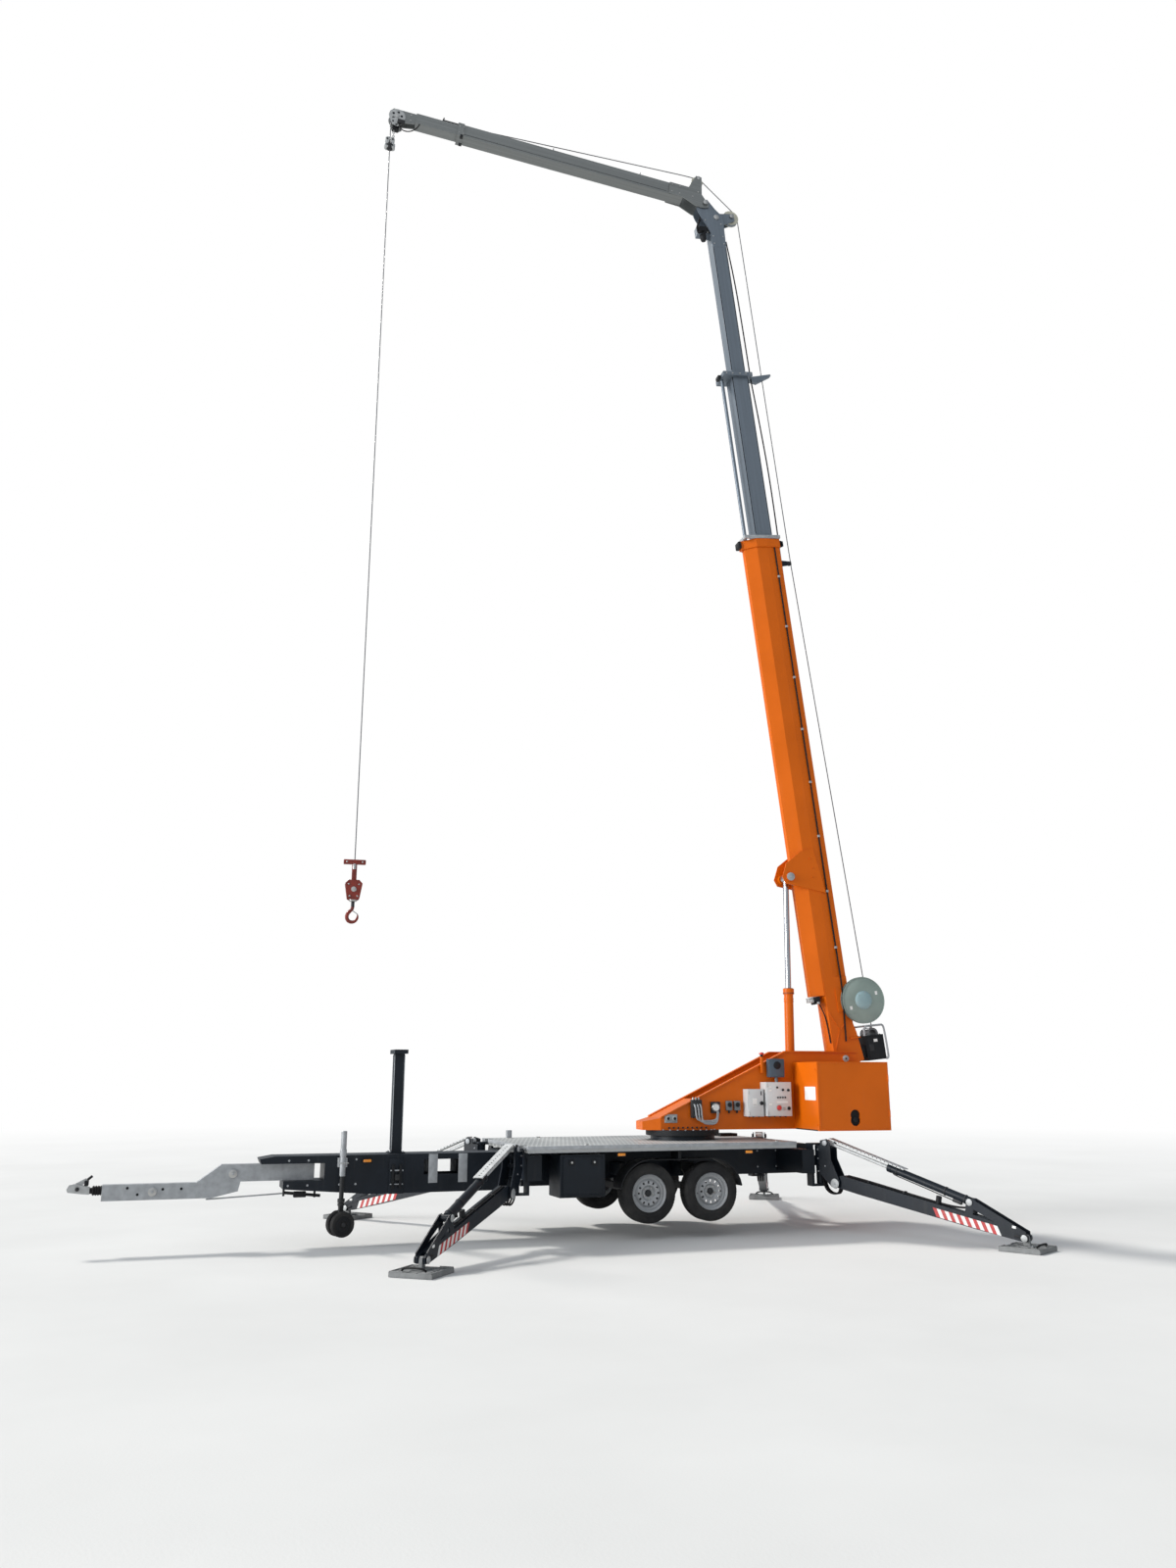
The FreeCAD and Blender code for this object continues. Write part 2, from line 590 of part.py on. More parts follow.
def cabinets():
    # counterweight, engine, oil tank and batteries, each side one plain block
    out = []
    for side in (-1, 1):
        a, b = sorted((side * (PLATE_IN + PLATE_T), side * CABINET_OUT))
        body = box(TAIL_U, CABINET_FRONT, a, b, TURRET_LOW, CABINET_TOP)
        port = rod(62, (-1795, side * (CABINET_OUT - 30), 1226), (-1795, side * (CABINET_OUT + 5), 1226))
        port = port.fuse(moved(port, FreeCAD.Placement(V(0, 0, 60), spin(0))))
        out.append(body.cut(port))
    return out


def control_boxes():
    inner = PLATE_IN + PLATE_T
    return [box(-885, -688, inner, inner + 150, 1262, 1575),
            box(-1230, -910, inner, inner + 180, 1265, 1655),
            box(-1160, -1016, inner, inner + 110, 1720, 1885)]


def luff_place():
    lug = boom_point(LUG_S, LUG_T)
    dx = lug[0] - BARREL_U
    dz = lug[1] - BARREL_Z
    length = hypot(dx, dz)
    return FreeCAD.Placement(V(BARREL_U, 0, BARREL_Z), spin(-degrees(atan2(dz, dx)), (0, 1, 0))), length


def boom_point(s, t):
    a = radians(BOOM_ANGLE)
    return (PIVOT_U + s * cos(a) + t * sin(a), PIVOT_Z + s * sin(a) - t * cos(a))


# Local frame of the boom: x along it, z towards its front or underside is negative
BOOM = FreeCAD.Placement(V(PIVOT_U, 0, PIVOT_Z), spin(-BOOM_ANGLE, (0, 1, 0)))


def luff_barrel():
    eye = rod(62, (0, -60, 0), (0, 60, 0))
    tube = rod(BARREL_R, (30, 0, 0), (BARREL_LEN, 0, 0)).cut(rod(45, (74, 0, 0), (BARREL_LEN - 60, 0, 0)))
    gland = rod(68, (BARREL_LEN - 70, 0, 0), (BARREL_LEN, 0, 0))
    whole = join([eye, tube, gland])
    whole = whole.cut(rod(ROD_R + RUN_GAP, (70, 0, 0), (BARREL_LEN + 10, 0, 0)))
    return whole.cut(rod(30 + RUN_GAP, (0, -80, 0), (0, 80, 0)))


def luff_rod(length):
    eye = rod(EYE_R, (length, -55, 0), (length, 55, 0))
    bar = rod(ROD_R, (BARREL_LEN - ROD_INSERT, 0, 0), (length, 0, 0))
    return join([eye, bar]).cut(rod(30, (length, -80, 0), (length, 80, 0)))


def shell(s0, s1, v, z0, z1, wall):
    outer = box(s0, s1, -v, v, z0, z1)
    return outer.cut(box(s0 - 1, s1 + 1, -v + wall, v - wall, z0 + wall, z1 - wall))


def wear_pads(s0, s1, inner, outer, half_v, half_t):
    # inner and outer as (v, low, high): pads fixed in the outer profile slide on the inner one
    pads = [box(s0, s1, -half_v, half_v, outer[1] - 1, inner[1] - RUN_GAP),
            box(s0, s1, -half_v, half_v, inner[2] + RUN_GAP, outer[2] + 1)]
    middle = 0.5 * (inner[1] + inner[2])
    for side in (-1, 1):
        a, b = sorted((side * (inner[0] + RUN_GAP), side * (outer[0] + 1)))
        pads.append(box(s0, s1, a, b, middle - half_t, middle + half_t))
    return pads


MID_BOX = (MID_V, INNER_T - MID_T, INNER_T + MID_T)
TOP_BOX = (TOP_V, INNER_T - TOP_T, INNER_T + TOP_T)


def boom_base():
    s0, s1 = BASE_S
    face = Part.Face(Part.makePolygon([V(s0, y, z) for y, z in BASE_PROFILE + BASE_PROFILE[:1]]))
    parts = [pipe(BASE_PROFILE, s0, s1, BASE_WALL), face.extrude(V(20, 0, 0))]
    rim_face = face.makeOffset2D(14).cut(face.makeOffset2D(-1))
    rim_face.translate(V(s1 - 120 - s0, 0, 0))
    parts.append(rim_face.extrude(V(120, 0, 0)))
    parts.append(box(s1 - 120, s1, -45, 45, -284, -240))
    # lower leg between the pivot and the profile
    leg = [(-95, -50), (-60, -80), (1000, -80), (1000, 238), (414, 235), (303, 265), (-45, 313), (-95, 120)]
    for v in (-BASE_V - 4, BASE_V - 12):
        parts.append(plate(leg, v, v + 16))
    fold = [(-BASE_V, -80), (-25, -118), (25, -118), (BASE_V, -80), (BASE_V - 8, -68), (25, -106), (-25, -106),
            (-BASE_V + 8, -68)]
    web = Part.Face(Part.makePolygon([V(-60, y, z) for y, z in fold + fold[:1]]))
    parts.append(web.extrude(V(s0 + 61, 0, 0)))
    parts.append(box(414, s0 + 1, -BASE_V + 10, BASE_V - 10, 222, 234))
    parts.append(rod(70, (0, -PLATE_IN + FACE_GAP, 0), (0, PLATE_IN - FACE_GAP, 0)))
    # arm of the cable reel
    parts.append(plate([(560, 60), (620, REEL_BACK + 50), (735, REEL_BACK + 50), (860, 60)],
                       BASE_V + 3, BASE_V + 16))
    # cheeks and bosses of the luffing cylinder
    cheek = [(2065, 135), (2225, -395), (2310, -430), (2481, -351), (2620, -130), (2650, 45)]
    for side in (-1, 1):
        a, b = sorted((side * (BASE_V - 1), side * (BASE_V + 14)))
        parts.append(plate(cheek, a, b))
        a, b = sorted((side * 80, side * (BASE_V + 30)))
        parts.append(rod(58, (LUG_S, a, -LUG_T), (LUG_S, b, -LUG_T)))
    inside = (BASE_V - BASE_WALL, -245 + BASE_WALL, 245 - BASE_WALL)
    parts += wear_pads(s1 - 110, s1 - 10, MID_BOX, inside, 36, 40)
    whole = join(parts)
    whole = whole.cut(rod(TIE_ROD_R + FACE_GAP, (s1 - 130, 0, TIE_ROD_T), (s1 + 10, 0, TIE_ROD_T)))
    return whole.cut(rod(PIVOT_R + RUN_GAP, (0, -300, 0), (0, 300, 0)))


def mid_section():
    s1 = MID_END
    v, low, high = MID_BOX
    body = shell(s1 - MID_LEN, s1, v, low, high, SKIN)
    collar = box(s1 - 60, s1, -v - 44, v + 44, -218, 220)
    collar = collar.cut(box(s1 - 61, s1 + 1, -v + 2, v - 2, low + 2, high - 2))
    guide = plate([(s1 - 60, 215), (s1 - 6, 215), (s1 + 55, 555), (s1 + 30, 560), (s1 - 90, 330)], -30, 30)
    tie_start = s1 - TIE_ROD_LEN
    tie = [rod(TIE_ROD_R, (tie_start, 0, TIE_ROD_T), (s1 - 20, 0, TIE_ROD_T)),
           box(tie_start, tie_start + 40, -20, 20, TIE_ROD_T, low + 1)]
    inside = (v - SKIN, low + SKIN, high - SKIN)
    pads = wear_pads(s1 - 90, s1 - 10, TOP_BOX, inside, 60, 50)
    return join([body, collar, guide] + tie + pads)


def top_section():
    s1 = TOP_END
    v, low, high = TOP_BOX
    parts = [shell(s1 - TOP_LEN, s1, v, low, high, SKIN), box(s1 - 10, s1, -v, v, low, high)]
    elbow = [(s1 - 290, low), (s1 - 290, high), (11998, 165), (12101, 146), (12198, 60), (12350, -40),
             (12350, -130), (12290, -180), (12190, -225), (12118, -204), (11890, -95), (11790, low)]
    for w in (-v - 1, v - 13):
        parts.append(plate(elbow, w, w + 14))
    sheave_s, sheave_t, sheave_r = TURN_SHEAVE
    for w in (-52, 40):
        ear = [(11940, 100), (12050, sheave_t + 40), (12170, sheave_t + 40), (12150, 60)]
        parts.append(plate(ear, w, w + 12))
    parts.append(box(11930, 12150, -v, v, 60, 74))
    parts.append(rod(sheave_r, (sheave_s, -22, sheave_t), (sheave_s, 22, sheave_t)))
    parts.append(rod(20, (sheave_s, -62, sheave_t), (sheave_s, 62, sheave_t)))
    parts.append(rod(HINGE_R, (HINGE_S, -v - 40, -HINGE_T), (HINGE_S, v + 40, -HINGE_T)))
    parts.append(box(11790, 11918, -60, 60, -251, low + 1))
    return join(parts)


HINGE_UZ = boom_point(HINGE_S, HINGE_T)
JIB = FreeCAD.Placement(V(HINGE_UZ[0], 0, HINGE_UZ[1]), spin(-JIB_ANGLE, (0, 1, 0)))


def jib_tube():
    low = JIB_RISE - JIB_B
    high = JIB_RISE + JIB_B
    parts = [shell(JIB_ROOT, JIB_LEN, JIB_V, low, high, SKIN),
             box(JIB_ROOT, JIB_ROOT + 20, -JIB_V, JIB_V, low, high)]
    sheave_a, sheave_b, sheave_r = ROOT_SHEAVE
    root = [(-60, -55), (-60, 20), (-6, 50), (62, 135), (sheave_a - 40, sheave_b + 30),
            (sheave_a + 45, sheave_b + 30), (270, high), (560, high), (560, low), (JIB_ROOT, low - 8), (150, -78), (60, -90), (0, -80)]
    for side in (-1, 1):
        a, b = sorted((side * (TOP_V + 1 + FACE_GAP), side * (TOP_V + 1 + FACE_GAP + 12)))
        parts.append(plate(root, a, b))
        a, b = sorted((side * (JIB_V - 1), side * (TOP_V + FACE_GAP + 2)))
        parts.append(box(JIB_ROOT + 20, 540, a, b, low + 15, high - 15))
    parts.append(rod(sheave_r, (sheave_a, -20, sheave_b), (sheave_a, 20, sheave_b)))
    parts.append(rod(18, (sheave_a, -100, sheave_b), (sheave_a, 100, sheave_b)))
    ring = box(JIB_LEN - 90, JIB_LEN, -JIB_V - 10, JIB_V + 10, low - 10, high + 10)
    parts.append(ring.cut(box(JIB_LEN - 100, JIB_LEN + 10, -JIB_V + 1, JIB_V - 1, low + 1, high - 1)))
    inner = (JIB_V - SKIN - WEAR_GAP, low + SKIN + WEAR_GAP, high - SKIN - WEAR_GAP)
    parts += wear_pads(JIB_LEN - 80, JIB_LEN - 10, inner, (JIB_V - SKIN, low + SKIN, high - SKIN), 45, 45)
    whole = join(parts)
    return whole.cut(rod(HINGE_R + RUN_GAP, (0, -200, 0), (0, 200, 0)))


def jib_extension():
    v = JIB_V - SKIN - WEAR_GAP
    low = JIB_RISE - JIB_B + SKIN + WEAR_GAP
    high = JIB_RISE + JIB_B - SKIN - WEAR_GAP
    parts = [shell(EXT_END - EXT_LEN, EXT_END, v, low, high, SKIN),
             box(EXT_END - 30, EXT_END, -v, v, low, high)]
    for w in (-52, 38):
        head = [(EXT_END - 1, low), (EXT_END - 1, high), (TIP_A + 60, JIB_RISE + 80),
                (TIP_A + 110, JIB_RISE + 20), (TIP_A + 90, TIP_B - 60), (TIP_A, TIP_B - 100)]
        parts.append(plate(head, w, w + 14))
    parts.append(rod(16, (TIP_A, -60, TIP_B), (TIP_A, 60, TIP_B)))
    parts.append(rod(SHEAVE_R, (TIP_A, -20, TIP_B), (TIP_A, 20, TIP_B)))
    return join(parts)


def tip_uz():
    c, s = cos(radians(JIB_ANGLE)), sin(radians(JIB_ANGLE))
    return (HINGE_UZ[0] + TIP_A * c - TIP_B * s, HINGE_UZ[1] + TIP_A * s + TIP_B * c)


TIP = tip_uz()
ROPE_U = TIP[0] + SHEAVE_R + ROPE_R + 0.35


def head_block():
    # limit weight threaded on the hoist rope, hung from the jib head
    bush = [(ROPE_R + 0.4, 0), (45, 0), (45, 90), (ROPE_R + 0.4, 90)]
    ring = spun(bush, (ROPE_U, 0, TIP[1] - 520), (0, 0, 1))
    strap = box(ROPE_U - 50, ROPE_U - 40, -12, 12, TIP[1] - 470, TIP[1] - 170)
    return join([ring, strap])


def hoist_rope():
    return rod(ROPE_R, (ROPE_U, 0, ROPE_LOW), (ROPE_U, 0, TIP[1]))


def hook_block():
    # heights from the lowest point of the hook
    bar = box(-130, 130, -25, 25, ROPE_LOW - HOOK_LOW - 60, ROPE_LOW - HOOK_LOW)
    neck = box(-30, 30, -20, 20, 506, ROPE_LOW - HOOK_LOW - 55)
    body = plate([(-110, 466), (-60, 516), (60, 516), (110, 466), (70, 286), (-70, 286)], -55, 55)
    shank = rod(22, (0, 0, 206), (0, 0, 296))
    hook = []
    pts = [(0, 216), (0, 176), (55, 126), (62, 76), (30, 28), (-20, 18), (-58, 56), (-62, 96)]
    for (x0, z0), (x1, z1) in zip(pts[:-1], pts[1:]):
        hook.append(rod(18, (x0, 0, z0), (x1, 0, z1)))
        hook.append(Part.makeSphere(18, V(x1, 0, z1)))
    whole = join([bar, neck, body, shank] + hook)
    whole.translate(V(ROPE_U, 0, HOOK_LOW))
    return whole


def winch():
    body = box(WINCH_S[0], WINCH_S[1], -WINCH_V, WINCH_V, WINCH_BACK[0], WINCH_BACK[1])
    grip = BASE_V - 12 - SEAT
    arms = [box(-20, 120, v, v + 12, 200, WINCH_BACK[0] + 5) for v in (-grip, grip - 12)]
    return join([body] + arms)


def reel():
    r = REEL_R
    return spun([(0, 0), (r, 0), (r, 10), (100, 16), (100, 40), (r, 44), (r, 52), (0, 54)],
                (REEL_S, BASE_V + 16 + SEAT, REEL_BACK), (0, 1, 0))


def main():
    keep("chassis_frame", frame())
    keep("front_cross_beams", cross_beams(OUTRIGGERS[0][1], 1))
    keep("rear_cross_beams", cross_beams(OUTRIGGERS[2][1], -1))
    keep("deck_platform", deck())
    keep("drawbar_beams", drawbar())
    keep("overrun_tube", overrun_tube())
    keep("coupling_head", coupling())
    keep("jockey_tube", jockey_tube())
    keep("boom_rest_post", boom_rest())
    keep("axle_beams", Part.makeCompound(axles()))
    keep("mudguards", Part.makeCompound(mudguards()))
    keep("storage_boxes", Part.makeCompound(boxes()))
    keep("jockey_leg", jockey_leg())
    turn = FreeCAD.Placement(V(JOCKEY_X, JOCKEY_Y, 0), spin(JOCKEY_TURN))
    caster = ROW.multiply(turn)
    keep("jockey_fork", jockey_fork(), caster)
    keep("jockey_wheels", Part.makeCompound(jockey_wheels()), caster)
    point("jockey", caster, (0, 0, 0))
    for label, x in (("front", AXLE_GAP / 2), ("rear", -AXLE_GAP / 2)):
        for hand, side in (("left", 1), ("right", -1)):
            keep("tyre_%s_%s" % (label, hand), tyre(x, side))
            keep("rim_%s_%s" % (label, hand), rim(x, side))
            point("wheel_%s_%s" % (label, hand), ROW, (x, side * (TYRE_OUT_Y - TYRE_W / 2), WHEEL_Z))
    for name, x, y, heading, reach, back, rail in OUTRIGGERS:
        base = ROW.multiply(FreeCAD.Placement(V(x, y, 0), spin(heading)))
        low, length, angle = cyl_frame(reach, back)
        keep("bracket_" + name, bracket(), base)
        keep("arm_" + name, arm(reach, back), base.multiply(arm_place(reach)))
        cylinder = base.multiply(cyl_place(reach, back))
        keep("leg_barrel_" + name, cyl_barrel(length), cylinder)
        keep("leg_rod_" + name, cyl_rod(length, rail), cylinder)
        foot = base.multiply(FreeCAD.Placement(V(reach, 0, 0), spin(0)))
        keep("pad_" + name, pad(), foot)
        point("swing_" + name, base, (0, 0, 700))
        point("arm_" + name, base, (ARM_PIVOT[0], 0, ARM_PIVOT[1]))
        point("foot_" + name, base, (reach, 0, FOOT_Z))
        point("cyl_" + name, base, (low.x, 0, low.z))
        point("top_" + name, base, (CYL_TOP[0], 0, CYL_TOP[1]))
        point("pad_" + name, base, (reach, 0, 0))
    keep("slew_ring", slew_ring(), TURRET)
    keep("turret_frame", turret_frame(), TURRET)
    keep("turret_cabinets", Part.makeCompound(cabinets()), TURRET)
    keep("control_boxes", Part.makeCompound(control_boxes()), TURRET)
    luff, reach = luff_place()
    keep("luff_barrel", luff_barrel(), TURRET.multiply(luff))
    keep("luff_rod", luff_rod(reach), TURRET.multiply(luff))
    boom = TURRET.multiply(BOOM)
    keep("boom_base", boom_base(), boom)
    keep("winch_unit", winch(), boom)
    keep("cable_reel", reel(), boom)
    keep("boom_section_2", mid_section(), boom)
    keep("boom_section_3", top_section(), boom)
    jib = TURRET.multiply(JIB)
    keep("jib_tube", jib_tube(), jib)
    keep("jib_extension", jib_extension(), jib)
    keep("limit_weight", head_block(), TURRET)
    keep("hoist_rope", hoist_rope(), TURRET)
    keep("hook_block", hook_block(), TURRET)
    point("slew", TURRET, (0, 0, RING_LOW))
    point("pivot", TURRET, (PIVOT_U, 0, PIVOT_Z))
    point("barrel", TURRET, (BARREL_U, 0, BARREL_Z))
    lug = boom_point(LUG_S, LUG_T)
    point("lug", TURRET, (lug[0], 0, lug[1]))
    point("hinge", TURRET, (HINGE_UZ[0], 0, HINGE_UZ[1]))
    point("tip", TURRET, (TIP[0], 0, TIP[1]))
    point("rope", TURRET, (ROPE_U, 0, TIP[1]))
    point("hook", TURRET, (ROPE_U, 0, HOOK_LOW))
    point("coupling", ROW, (TIP_X, 0, TUBE_Z))
    total = Part.makeCompound([s for n, s in PARTS])
    b = total.BoundBox
    print("BOX %.1f %.1f %.1f %.1f %.1f %.1f" % (b.XMin, b.XMax, b.YMin, b.YMax, b.ZMin, b.ZMax))
    for name, shape in PARTS:
        ok = shape.isValid() and all(s.isClosed() for s in shape.Shells)
        litres = shape.Volume / 1e6
        print("NODE %-24s solids %d vol %8.2f L %s" % (name, len(shape.Solids), litres, "ok" if ok else "BAD"))


main()
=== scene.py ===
# Trailer crane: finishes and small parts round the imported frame
import json
from math import radians, pi, cos, sin, atan2, hypot

import bpy
from bpy.props import FloatProperty, FloatVectorProperty, IntProperty, PointerProperty
from mathutils import Matrix, Vector


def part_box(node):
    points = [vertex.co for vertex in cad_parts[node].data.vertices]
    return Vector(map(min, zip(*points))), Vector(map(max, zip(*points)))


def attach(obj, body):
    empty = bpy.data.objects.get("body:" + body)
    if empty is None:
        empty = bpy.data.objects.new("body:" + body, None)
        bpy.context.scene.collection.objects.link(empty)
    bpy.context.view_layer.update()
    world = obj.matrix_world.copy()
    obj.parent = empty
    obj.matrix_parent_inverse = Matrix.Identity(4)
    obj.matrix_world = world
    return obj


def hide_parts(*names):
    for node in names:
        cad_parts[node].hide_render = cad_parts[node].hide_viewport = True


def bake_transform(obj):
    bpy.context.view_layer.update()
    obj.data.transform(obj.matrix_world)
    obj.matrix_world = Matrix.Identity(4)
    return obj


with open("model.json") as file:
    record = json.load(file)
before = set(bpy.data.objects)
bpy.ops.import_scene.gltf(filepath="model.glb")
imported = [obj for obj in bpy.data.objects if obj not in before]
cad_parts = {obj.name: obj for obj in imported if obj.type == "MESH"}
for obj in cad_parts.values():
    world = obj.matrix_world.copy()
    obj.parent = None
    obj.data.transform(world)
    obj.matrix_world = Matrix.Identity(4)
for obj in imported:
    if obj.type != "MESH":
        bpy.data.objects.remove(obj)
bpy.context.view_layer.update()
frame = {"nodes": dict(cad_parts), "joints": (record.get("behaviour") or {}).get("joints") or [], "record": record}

bl_info = {
    "name": "Trailer Crane Dresser",
    "version": (1, 0, 0),
    "blender": (4, 5, 0),
    "location": "View3D > Sidebar > Crane",
    "description": "Finishes and fittings for a telescopic crane on a two-axle trailer",
    "category": "Object",
}

JOINTS = {j["name"]: j for j in frame["joints"]}
UP = Vector((0, 0, 1))
OUTRIGGERS = ("front_left", "front_right", "rear_left", "rear_right")
WHEELS = ("front_left", "front_right", "rear_left", "rear_right")


# Places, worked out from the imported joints
def at(joint):
    return Vector(JOINTS[joint]["pos_m"])


def along(joint):
    return Vector(JOINTS[joint]["axis"]).normalized()


def axes(origin, x, y):
    z = x.cross(y)
    grid = Matrix((x, y, z)).transposed().to_4x4()
    grid.translation = origin
    return grid


ACROSS = -along("boom_luff")
FORWARD = ACROSS.cross(UP)
SLEW = at("slew")
TRAILER = Matrix.Translation((SLEW.x + 0.42, 0, 0))
TURRET = axes(Vector((SLEW.x, SLEW.y, 0)), FORWARD, ACROSS)
BOOM = axes(at("boom_luff"), along("telescope_2"), ACROSS)
JIB = axes(at("jib_fold"), along("jib_extend"), ACROSS)
LUFF = axes(at("luff_barrel_hinge"), along("luff_rod_slide"), ACROSS)


def outrigger(corner):
    side = along("outrigger_tilt_" + corner)
    post = at("outrigger_swing_" + corner)
    out = side.cross(UP)
    knee = at("outrigger_tilt_" + corner)
    foot = at("pad_level_" + corner)
    barrel = at("leg_barrel_hinge_" + corner)
    return {
        "bracket": axes(Vector((post.x, post.y, 0)), out, side),
        "arm": axes(knee, (foot - knee).normalized(), side),
        "cylinder": axes(barrel, along("leg_rod_slide_" + corner), side),
        "pad": axes(Vector((foot.x, foot.y, 0)), out, side),
        "reach": (foot - knee).length,
    }


# Modelling by hand tools
LOOSE = []


def clear():
    bpy.ops.object.select_all(action="DESELECT")


def editing(on):
    bpy.ops.object.mode_set(mode="EDIT" if on else "OBJECT")


def settle(ob, finish, grid=None):
    if grid is not None:
        ob.matrix_world = grid
    bpy.ops.object.transform_apply(location=True, rotation=True, scale=True)
    ob.data.materials.append(MAT[finish])
    LOOSE.append(ob)
    return ob


def block(finish, low, high, edge=0.002):
    """Cube between two corners with rounded edges."""
    clear()
    low, high = Vector(low), Vector(high)
    bpy.ops.mesh.primitive_cube_add(size=1, location=(low + high) / 2, scale=high - low)
    ob = bpy.context.object
    bpy.ops.object.transform_apply(location=True, rotation=True, scale=True)
    if edge:
        editing(True)
        bpy.ops.mesh.select_all(action="SELECT")
        bpy.ops.mesh.bevel(offset=edge, segments=2, affect="EDGES")
        editing(False)
    return settle(ob, finish)


def turned(finish, profile, start, way, sides=24):
    """Round piece: a disc extruded and resized through (radius, height) steps."""
    clear()
    radius, height = profile[0]
    bpy.ops.mesh.primitive_circle_add(vertices=sides, radius=radius, location=(0, 0, height), fill_type="NGON")
    ob = bpy.context.object
    bpy.ops.object.transform_apply(location=True, rotation=True, scale=True)
    editing(True)
    bpy.ops.mesh.select_all(action="SELECT")
    for r, h in profile[1:]:
        bpy.ops.mesh.extrude_region_move(TRANSFORM_OT_translate={"value": (0, 0, h - height)})
        if abs(r - radius) > 1e-6:
            k = r / radius
            bpy.ops.transform.resize(value=(k, k, 1), center_override=(0, 0, h))
        radius, height = r, h
    bpy.ops.mesh.select_all(action="SELECT")
    bpy.ops.mesh.normals_make_consistent(inside=False)
    editing(False)
    turn = UP.rotation_difference(Vector(way).normalized())
    return settle(ob, finish, Matrix.Translation(start) @ turn.to_matrix().to_4x4())


def bar(finish, a, b, radius, sides=16, edge=0.0015):
    """Round bar from a to b with broken edges."""
    a, b = Vector(a), Vector(b)
    long = (b - a).length
    steps = [(radius - edge, 0), (radius, edge), (radius, long - edge), (radius - edge, long)]
    return turned(finish, steps, a, b - a, sides)


def bolt(finish, place, way, size=0.012):
    """Hexagon head on a washer."""
    turned(finish, [(size * 1.05, 0), (size * 1.05, size * 0.18)], place, way, 12)
    head = [(size * 0.84, size * 0.18), (size * 0.84, size * 0.72), (size * 0.7, size * 0.84)]
    return turned(finish, head, place, way, 6)


def plate(finish, outline, y0, y1, edge=0.0015):
    """Flat piece: an outline of (x, z) filled and extruded from y0 to y1."""
    clear()
    bpy.ops.mesh.primitive_circle_add(vertices=len(outline), radius=1, fill_type="NGON")
    ob = bpy.context.object
    for vertex, (x, z) in zip(ob.data.vertices, outline):
        vertex.co = (x, y0, z)
    editing(True)
    bpy.ops.mesh.select_all(action="SELECT")
    bpy.ops.mesh.extrude_region_move(TRANSFORM_OT_translate={"value": (0, y1 - y0, 0)})
    bpy.ops.mesh.select_all(action="SELECT")
    bpy.ops.mesh.normals_make_consistent(inside=False)
    if edge:
        bpy.ops.mesh.bevel(offset=edge, segments=1, affect="EDGES")
    editing(False)
    return settle(ob, finish)


def spun(finish, outline, centre, way, steps=48):
    """Closed outline of (radius, height) spun round an axis."""
    clear()
    bpy.ops.mesh.primitive_circle_add(vertices=len(outline), radius=1, fill_type="NOTHING")
    ob = bpy.context.object
    for vertex, (r, h) in zip(ob.data.vertices, outline):
        vertex.co = (r, 0, h)
    editing(True)
    bpy.ops.mesh.select_all(action="SELECT")
    bpy.ops.mesh.spin(steps=steps, angle=2 * pi, center=(0, 0, 0), axis=(0, 0, 1))
    bpy.ops.mesh.select_all(action="SELECT")
    bpy.ops.mesh.remove_doubles(threshold=0.0001)
    bpy.ops.mesh.normals_make_consistent(inside=False)
    editing(False)
    turn = UP.rotation_difference(Vector(way).normalized())
    return settle(ob, finish, Matrix.Translation(centre) @ turn.to_matrix().to_4x4())


def hose(finish, points, radius, closed_ends=True):
    """Tube that follows a smooth line through the points' hull."""
    clear()
    bpy.ops.curve.primitive_nurbs_path_add()
    ob = bpy.context.object
    line = ob.data.splines[0]
    line.points.add(max(0, len(points) - len(line.points)))
    for point, place in zip(line.points, points):
        point.co = (*place, 1)
    for point in line.points[len(points):]:
        point.co = (*points[-1], 1)
    line.order_u = 3
    line.use_endpoint_u = True
    line.resolution_u = 6
    ob.data.bevel_depth = radius
    ob.data.bevel_resolution = 2
    ob.data.use_fill_caps = closed_ends
    bpy.ops.object.convert(target="MESH")
    ob = bpy.context.object
    editing(True)
    bpy.ops.mesh.select_all(action="SELECT")
    bpy.ops.mesh.remove_doubles(threshold=0.00005)
    bpy.ops.mesh.normals_make_consistent(inside=False)
    editing(False)
    ob.data.materials.clear()
    return settle(ob, finish)


def joined(name, grid=None):
    """Joins the loose parts, brings them to their place and names them."""
    clear()
    for ob in LOOSE:
        ob.select_set(True)
    bpy.context.view_layer.objects.active = LOOSE[0]
    if len(LOOSE) > 1:
        bpy.ops.object.join()
    ob = bpy.context.object
    if grid is not None:
        ob.matrix_world = grid
        bpy.ops.object.transform_apply(location=True, rotation=True, scale=True)
    bpy.ops.object.shade_smooth_by_angle(angle=radians(38))
    ob.name = name
    ob.data.name = name
    LOOSE.clear()
    return ob


def fit(name, body, grid=None, stands_for=()):
    """Joined piece that rides on a body and hides the frame's pieces it stands for."""
    ob = joined(name, grid)
    if stands_for:
        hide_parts(*stands_for)
    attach(ob, body)
    return ob


# Finishes
MAT = {}


def sheet_of_nodes(name):
    mat = bpy.data.materials.new(name)
    mat.use_nodes = True
    tree = mat.node_tree
    shader = tree.nodes["Principled BSDF"]
    coords = tree.nodes.new("ShaderNodeTexCoord")
    return mat, tree, shader, coords.outputs["Object"]


def mapped(tree, source, scale=(1, 1, 1), grid=None):
    if grid is not None:
        turn = tree.nodes.new("ShaderNodeMapping")
        turn.vector_type = "TEXTURE"
        turn.inputs["Location"].default_value = grid.translation
        turn.inputs["Rotation"].default_value = grid.to_euler()
        tree.links.new(source, turn.inputs["Vector"])
        source = turn.outputs["Vector"]
    stretch = tree.nodes.new("ShaderNodeMapping")
    stretch.inputs["Scale"].default_value = scale
    tree.links.new(source, stretch.inputs["Vector"])
    return stretch.outputs["Vector"]


